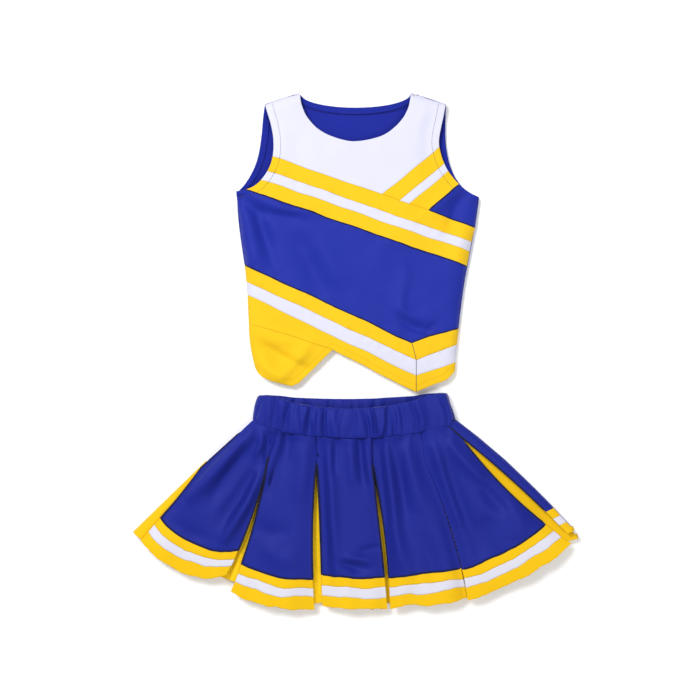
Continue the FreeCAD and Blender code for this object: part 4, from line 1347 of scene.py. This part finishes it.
@dataclass
class Waistband:
    """The gathered elastic casing round the top of the skirt."""

    frame: dict
    columns: int = 640
    wall: float = 0.0040
    pucker: float = 0.0068
    made: list[bpy.types.Object] = field(default_factory=list)

    def edge_lines(self) -> tuple[Height, Height]:
        """Reads the front's and back's edges off the casing.

        Returns:
            Two functions of x and of the side, 1 in front and 0 behind: the top edge and the seam.
        """
        mesh = self.frame["nodes"]["waistband_casing"].data
        points = np.array([tuple(v.co) for v in mesh.vertices])
        middle = (points[:, 2].min() + points[:, 2].max()) / 2
        lines = {}
        for side, keep in ((1, points[:, 2] > middle + 0.002), (0, points[:, 2] < middle - 0.002)):
            chosen = points[keep]
            bins = np.linspace(chosen[:, 0].min(), chosen[:, 0].max(), 15)
            xs, highs, lows = [], [], []
            for a, b in zip(bins, bins[1:]):
                inside = chosen[(chosen[:, 0] >= a) & (chosen[:, 0] <= b)]
                if len(inside):
                    xs.append((a + b) / 2)
                    highs.append(inside[:, 1].max())
                    lows.append(inside[:, 1].min())
            lines[side] = (xs, highs, lows)

        def top(x: float, side: float) -> float:
            """The casing's top edge at x."""
            return float(np.interp(x, lines[side][0], lines[side][1]))

        def seam(x: float, side: float) -> float:
            """The waist seam at x."""
            return float(np.interp(x, lines[side][0], lines[side][2]))

        return top, seam

    def build(self) -> None:
        """Makes the casing and the elastic inside it."""
        casing = self.ring("waistband_casing_cloth", 0.0, self.wall, self.pucker, 0.0, SKIRT_BLUE)
        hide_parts("waistband_casing")
        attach(casing, "skirt")
        declare(CASING_CUT)
        elastic = self.ring("waist_elastic_webbing", 0.0012, 0.0016, 0.0, 0.0028, ELASTIC)
        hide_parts("waist_elastic")
        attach(elastic, "skirt")
        self.made += [casing, elastic]
        log.info("waistband: %d pieces", len(self.made))

    def ring(
        self, name: str, inset: float, wall: float, pucker: float, trim: float, knit: Knit
    ) -> bpy.types.Object:
        """A flattened loop with a rounded section, puckered all the way round.

        Args:
            name: The piece's name.
            inset: How far its outside lies in from the casing's.
            wall: Its thickness.
            pucker: The height of its puckers.
            trim: How far its edges lie in from the casing's.
            knit: Its cloth.

        Returns:
            The loop as one closed mesh.
        """
        top, seam = self.edge_lines()
        low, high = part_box("waistband_casing")
        thick, left, right = high[2] - low[2], low[0], high[0]
        radius = thick / 2
        straight = (right - left) - 2 * radius
        around = 2 * straight + 2 * math.pi * radius
        middle = (left + right) / 2
        rows = 20
        bm = bmesh.new()
        grid = []
        for i in range(self.columns):
            s = around * i / self.columns
            x, z, nx, nz = stadium_point(s, left, straight, radius)
            side = min(1.0, max(0.0, (z / thick - 0.2) / 0.6))
            upper = top(x, 0) * (1 - side) + top(x, 1) * side - trim
            lower = seam(x, 0) * (1 - side) + seam(x, 1) * side + trim
            column = []
            for k in range(2 * rows):
                outside = k < rows
                t = (k + 0.5) / rows if outside else (2 * rows - k - 0.5) / rows
                y = upper + (lower - upper) * (0.5 - 0.5 * math.cos(math.pi * t))
                bulge = wall / 2 * math.sin(math.pi * t) ** 0.35
                fade = math.sin(math.pi * t) ** 0.4
                height = inset + wall / 2 - bulge - pucker * ruching(s, y) * fade
                if not outside:
                    height = inset + wall / 2 + bulge + pucker * 0.4 * max(0.0, ruching(s, y)) * fade
                shrink = 1 - WAIST_TAPER * min(1.0, max(0.0, (y - high[1]) / WAIST_RISE + 1))
                px = middle + (x - nx * height - middle) * shrink
                column.append(bm.verts.new((px, y, max(0.0002, z - nz * height))))
            grid.append(column)
        for a, b in zip(grid, grid[1:] + grid[:1]):
            for k in range(2 * rows):
                bm.faces.new((a[k], a[(k + 1) % (2 * rows)], b[(k + 1) % (2 * rows)], b[k]))
        return closed_up(name, bm, knit)


def ruching(s: float, y: float) -> float:
    """The gathers of the casing at a place round it: round ridges with sharp creases between them."""
    lean = s + 0.007 * noise.noise(Vector((s / 0.03, y / 0.04, 9.0)))
    broad = 2.6 * abs(noise.noise(Vector((lean / 0.0170, y / 0.100, 1.7))))
    fine = noise.noise(Vector((lean / 0.0050, y / 0.035, 4.1)))
    strength = 0.85 + 0.9 * noise.noise(Vector((s / 0.045, 0.3, 2.2)))
    return max(-0.16, min(1.0, (broad + 0.22 * fine) * strength - 0.15))


def stadium_point(s: float, left: float, straight: float, radius: float) -> tuple[float, float, float, float]:
    """A place on a flattened loop in XZ that stands on 0, and the loop's outward normal there."""
    bend = math.pi * radius
    a, b = left + radius, left + radius + straight
    if s < straight:
        return a + s, 0.0, 0.0, -1.0
    s -= straight
    if s < bend:
        t = -math.pi / 2 + s / radius
        return b + radius * math.cos(t), radius + radius * math.sin(t), math.cos(t), math.sin(t)
    s -= bend
    if s < straight:
        return b - s, 2 * radius, 0.0, 1.0
    t = math.pi / 2 + (s - straight) / radius
    return a + radius * math.cos(t), radius + radius * math.sin(t), math.cos(t), math.sin(t)


@dataclass
class SkirtBack:
    """The back layer, the side panel and the two outer inserts."""

    frame: dict
    mesh: float = 0.0065
    made: list[bpy.types.Object] = field(default_factory=list)

    def keep(self, obj: bpy.types.Object, *nodes: str) -> None:
        """Counts a piece in for its CAD node."""
        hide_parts(*nodes)
        self.made.append(obj)

    def build(self) -> None:
        """Makes every piece of the layer."""
        names = {
            "skirt_back_panels": SKIRT_BLUE,
            "back_hem_top": SKIRT_GOLD,
            "back_hem_white": BRAID_WHITE,
            "back_hem_bottom": SKIRT_GOLD,
        }
        layer = cut_layer({n: plan_loops(self.frame, n, True) for n in names}, self.mesh)
        z = 0.0014 + np.abs(ripple(layer.points, 0.05, 0.0016, 40.0))
        hem = distance_to(layer.points, self.edge_runs(layer, lambda n: n[1] < HEM_NORMAL))
        z += HEM_THICKNESS * np.exp(-hem / 0.012)
        made = Cloth(groove=0.0003).pieces(layer, z, names, hemmed_edge, "_cloth")
        for name, obj in made.items():
            self.keep(obj, name)
            declare(0.0 if name == "skirt_back_panels" else BACK_STRIPE_CUT)
        node = "skirt_back_inserts"
        layer = cut_layer({node: plan_loops(self.frame, node)}, self.mesh)
        z = np.full(len(layer.points), 0.0034)
        obj = Cloth(groove=0.0).pieces(layer, z, {node: SKIRT_GOLD}, hemmed_edge, "_cloth")[node]
        self.keep(obj, node)
        declare()
        self.build_side()
        for obj in self.made:
            if body_of(obj) is None:
                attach(obj, "skirt")
        log.info("skirt back: %d pieces", len(self.made))

    def build_side(self) -> None:
        """The side panel with its own hem stripes, its standing fold and the two outer inserts."""
        names = {
            "skirt_side_panel": SKIRT_BLUE,
            "back_hem_top": SKIRT_GOLD,
            "back_hem_white": BRAID_WHITE,
            "back_hem_bottom": SKIRT_GOLD,
        }
        layer = cut_layer({n: plan_loops(self.frame, n) for n in names}, 0.003)
        runs = self.edge_runs(layer, lambda n: n[0] > 0.3 and n[1] > 0.0)
        gap = distance_to(layer.points, runs)
        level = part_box("skirt_side_panel")[1][2] - 0.003
        z = 0.018 + (level - 0.018) * rounded(gap, 0.009) + ripple(layer.points, 0.05, 0.001, 60.0)
        inner = self.edge_runs(layer, lambda n: n[0] < -0.2)
        waist = distance_to(layer.points, self.edge_runs(layer, lambda n: n[1] > 0.9))
        layer.points[:, 1] += 0.0040 * np.exp(-((waist / 0.006) ** 2))
        made = Cloth(groove=0.0003).pieces(layer, z, names, side_edge, "_side")
        for name, obj in made.items():
            self.keep(obj, name)
            width = 0.0 if name == "skirt_side_panel" else SIDE_STRIPE_CUT
            declare(width)
        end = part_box("skirt_side_panel")[0][1]
        # A dark thread along the side panel's inner fold: thread, and painted shade at the fold edge.
        sewn = [[Vector((x, y, level + 0.0002)) for x, y in run if y > end] for run in inner]
        sewn = [run for run in sewn if len(run) > 3]
        self.keep(tube("side_panel_edge_thread_and_shade", sewn, 0.0012, DARK_THREAD_AND_SEAM_SHADE, 0.5))
        self.wall("skirt_side_fold", runs, 0.0175, SKIRT_BLUE, "skirt_side_panel")
        node = "pleat_insert_5"
        layer = cut_layer({node: plan_loops(self.frame, node)}, 0.004)
        z = np.full(len(layer.points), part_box(node)[1][2] - 0.004)
        z += ripple(layer.points, 0.04, 0.0016, 71.0)
        obj = Cloth(groove=0.0).pieces(layer, z, {node: SKIRT_GOLD}, side_edge, "_cloth")[node]
        self.keep(obj, node)
        declare()
        node = "pleat_insert_0"
        layer = cut_layer({node: plan_loops(self.frame, node)}, 0.004)
        runs = self.edge_runs(layer, lambda n: n[0] < -0.3 and n[1] > 0.0)
        gap = distance_to(layer.points, runs)
        low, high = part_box(node)
        z = 0.010 + (high[2] - 0.010) * rounded(gap, 0.010)
        obj = Cloth(groove=0.0).pieces(layer, z, {node: SKIRT_GOLD}, raw_edge, "_cloth")[node]
        self.keep(obj, node)
        declare()
        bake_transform(obj, "skirt", "pleat_1", start=(low[0], low[1], 0.010), end=(low[0], low[1], 0.016))
        self.wall("left_insert_fold", runs, 0.0095, SKIRT_GOLD, node)
        self.build_left_side()

    def build_left_side(self) -> None:
        """The cloth that closes the skirt's left side, from the first panel down to the back layer."""
        node = "pleat_panel_1"
        layer = cut_layer({node: plan_loops(self.frame, node)}, 0.004)
        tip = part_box("pleat_insert_0")[1][1]
        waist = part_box(node)[1][1]
        outer = self.edge_runs(layer, lambda n: n[0] < -0.3 and n[1] < 0.9)
        run = [p for p in max(outer, key=len) if tip - 0.006 < p[1] < waist - 0.002]
        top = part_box(node)[0][2] - 0.0060
        self.wall("skirt_left_fold", [inset_run(run, 0.0014)], top, SKIRT_BLUE, node)
        low, rise, fall = 0.0026, 1 / (top - 0.0026), 1 / (waist - tip)
        share = rise**2 + fall**2
        end = (run[-1][0], tip - fall / share, low + rise / share)
        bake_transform(self.made[-1], "skirt", "pleat_1", start=(run[-1][0], tip, low), end=end)

    def edge_runs(self, layer: Cutting, faces: Callable[[Plan], bool]) -> list[list[Plan]]:
        """The runs of a layer's outline whose outward normal passes a test."""
        return layer.outline(lambda middle, normal: faces(normal))

    def wall(self, name: str, runs: list[list[Plan]], top: float, knit: Knit, node: str) -> None:
        """The cloth that goes down from a folded edge to the back layer."""
        bm = bmesh.new()
        for run in runs:
            profile = (
                (0.0, top),
                (0.0006, top * 0.75),
                (0.0, top * 0.45),
                (-0.002, top * 0.22),
                (-0.007, 0.0026),
            )
            rows = []
            for out, z in profile:
                moved = inset_run(run, -out)
                rows.append([bm.verts.new((x, y, z)) for x, y in moved])
            for a, b in zip(rows, rows[1:]):
                for i in range(len(run) - 1):
                    bm.faces.new((a[i], a[i + 1], b[i + 1], b[i]))
        obj = closed_up(name, bm, knit, 0.0008)
        self.keep(obj, node)
        declare(WALL_CUT)


# ---- the studio ------------------------------------------------------------------------------------
@dataclass(frozen=True)
class Studio:
    """A pale floor, soft lights and a camera straight above."""

    view_width: float = 0.98
    aim: Plan = (-0.008, 0.001)
    lens: float = 85.0
    sensor: float = 36.0

    def build(self) -> None:
        """Makes the floor, the lights, the world and the camera."""
        self.floor()
        self.light("key", (-0.95, 1.00, 2.2), 0.9, 56.0)
        self.light("fill", (0.9, -0.6, 2.5), 1.2, 24.0)
        scene = bpy.context.scene
        world = bpy.data.worlds.new("studio")
        world.use_nodes = True
        world.node_tree.nodes["Background"].inputs["Color"].default_value = (1.0, 1.0, 1.0, 1.0)
        world.node_tree.nodes["Background"].inputs["Strength"].default_value = 0.44
        scene.world = world
        scene.view_settings.view_transform = "Standard"
        scene.view_settings.look = "None"
        camera = bpy.data.cameras.new("camera")
        camera.lens, camera.sensor_width = self.lens, self.sensor
        camera.clip_start, camera.clip_end = 0.05, 20.0
        rig = bpy.data.objects.new("camera", camera)
        rig.location = (*self.aim, self.view_width * self.lens / self.sensor + 0.015)
        scene.collection.objects.link(rig)
        scene.camera = rig

    def floor(self) -> None:
        """A pale matt floor, larger than any view of the uniform."""
        half = 6.0
        mesh = bpy.data.meshes.new("floor")
        corners = [(-half, -half, 0), (half, -half, 0), (half, half, 0), (-half, half, 0)]
        mesh.from_pydata(corners, [], [(0, 1, 2, 3)])
        finish = bpy.data.materials.new("pale_floor")
        finish.use_nodes = True
        shader = finish.node_tree.nodes["Principled BSDF"]
        shader.inputs["Base Color"].default_value = (0.98, 0.98, 0.98, 1.0)
        shader.inputs["Roughness"].default_value = 0.9
        shader.inputs["Specular IOR Level"].default_value = 0.0
        mesh.materials.append(finish)
        obj = bpy.data.objects.new("floor", mesh)
        bpy.context.scene.collection.objects.link(obj)

    def light(self, name: str, place: tuple[float, float, float], size: float, power: float) -> None:
        """A square soft light that looks at the middle of the uniform."""
        lamp = bpy.data.lights.new(name, "AREA")
        lamp.size, lamp.energy = size, power
        obj = bpy.data.objects.new(name, lamp)
        obj.location = place
        obj.rotation_euler = (-Vector(place)).to_track_quat("-Z", "Y").to_euler()
        bpy.context.scene.collection.objects.link(obj)


def main() -> None:
    """Builds the uniform around the frame, then the studio."""
    logging.basicConfig(level=logging.INFO, format="%(name)s: %(message)s")
    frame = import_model()
    Studio().build()
    for part in (ShellTop(frame), Waistband(frame), Pleats(frame), SkirtBack(frame)):
        part.build()


if __name__ == "__main__":
    main()
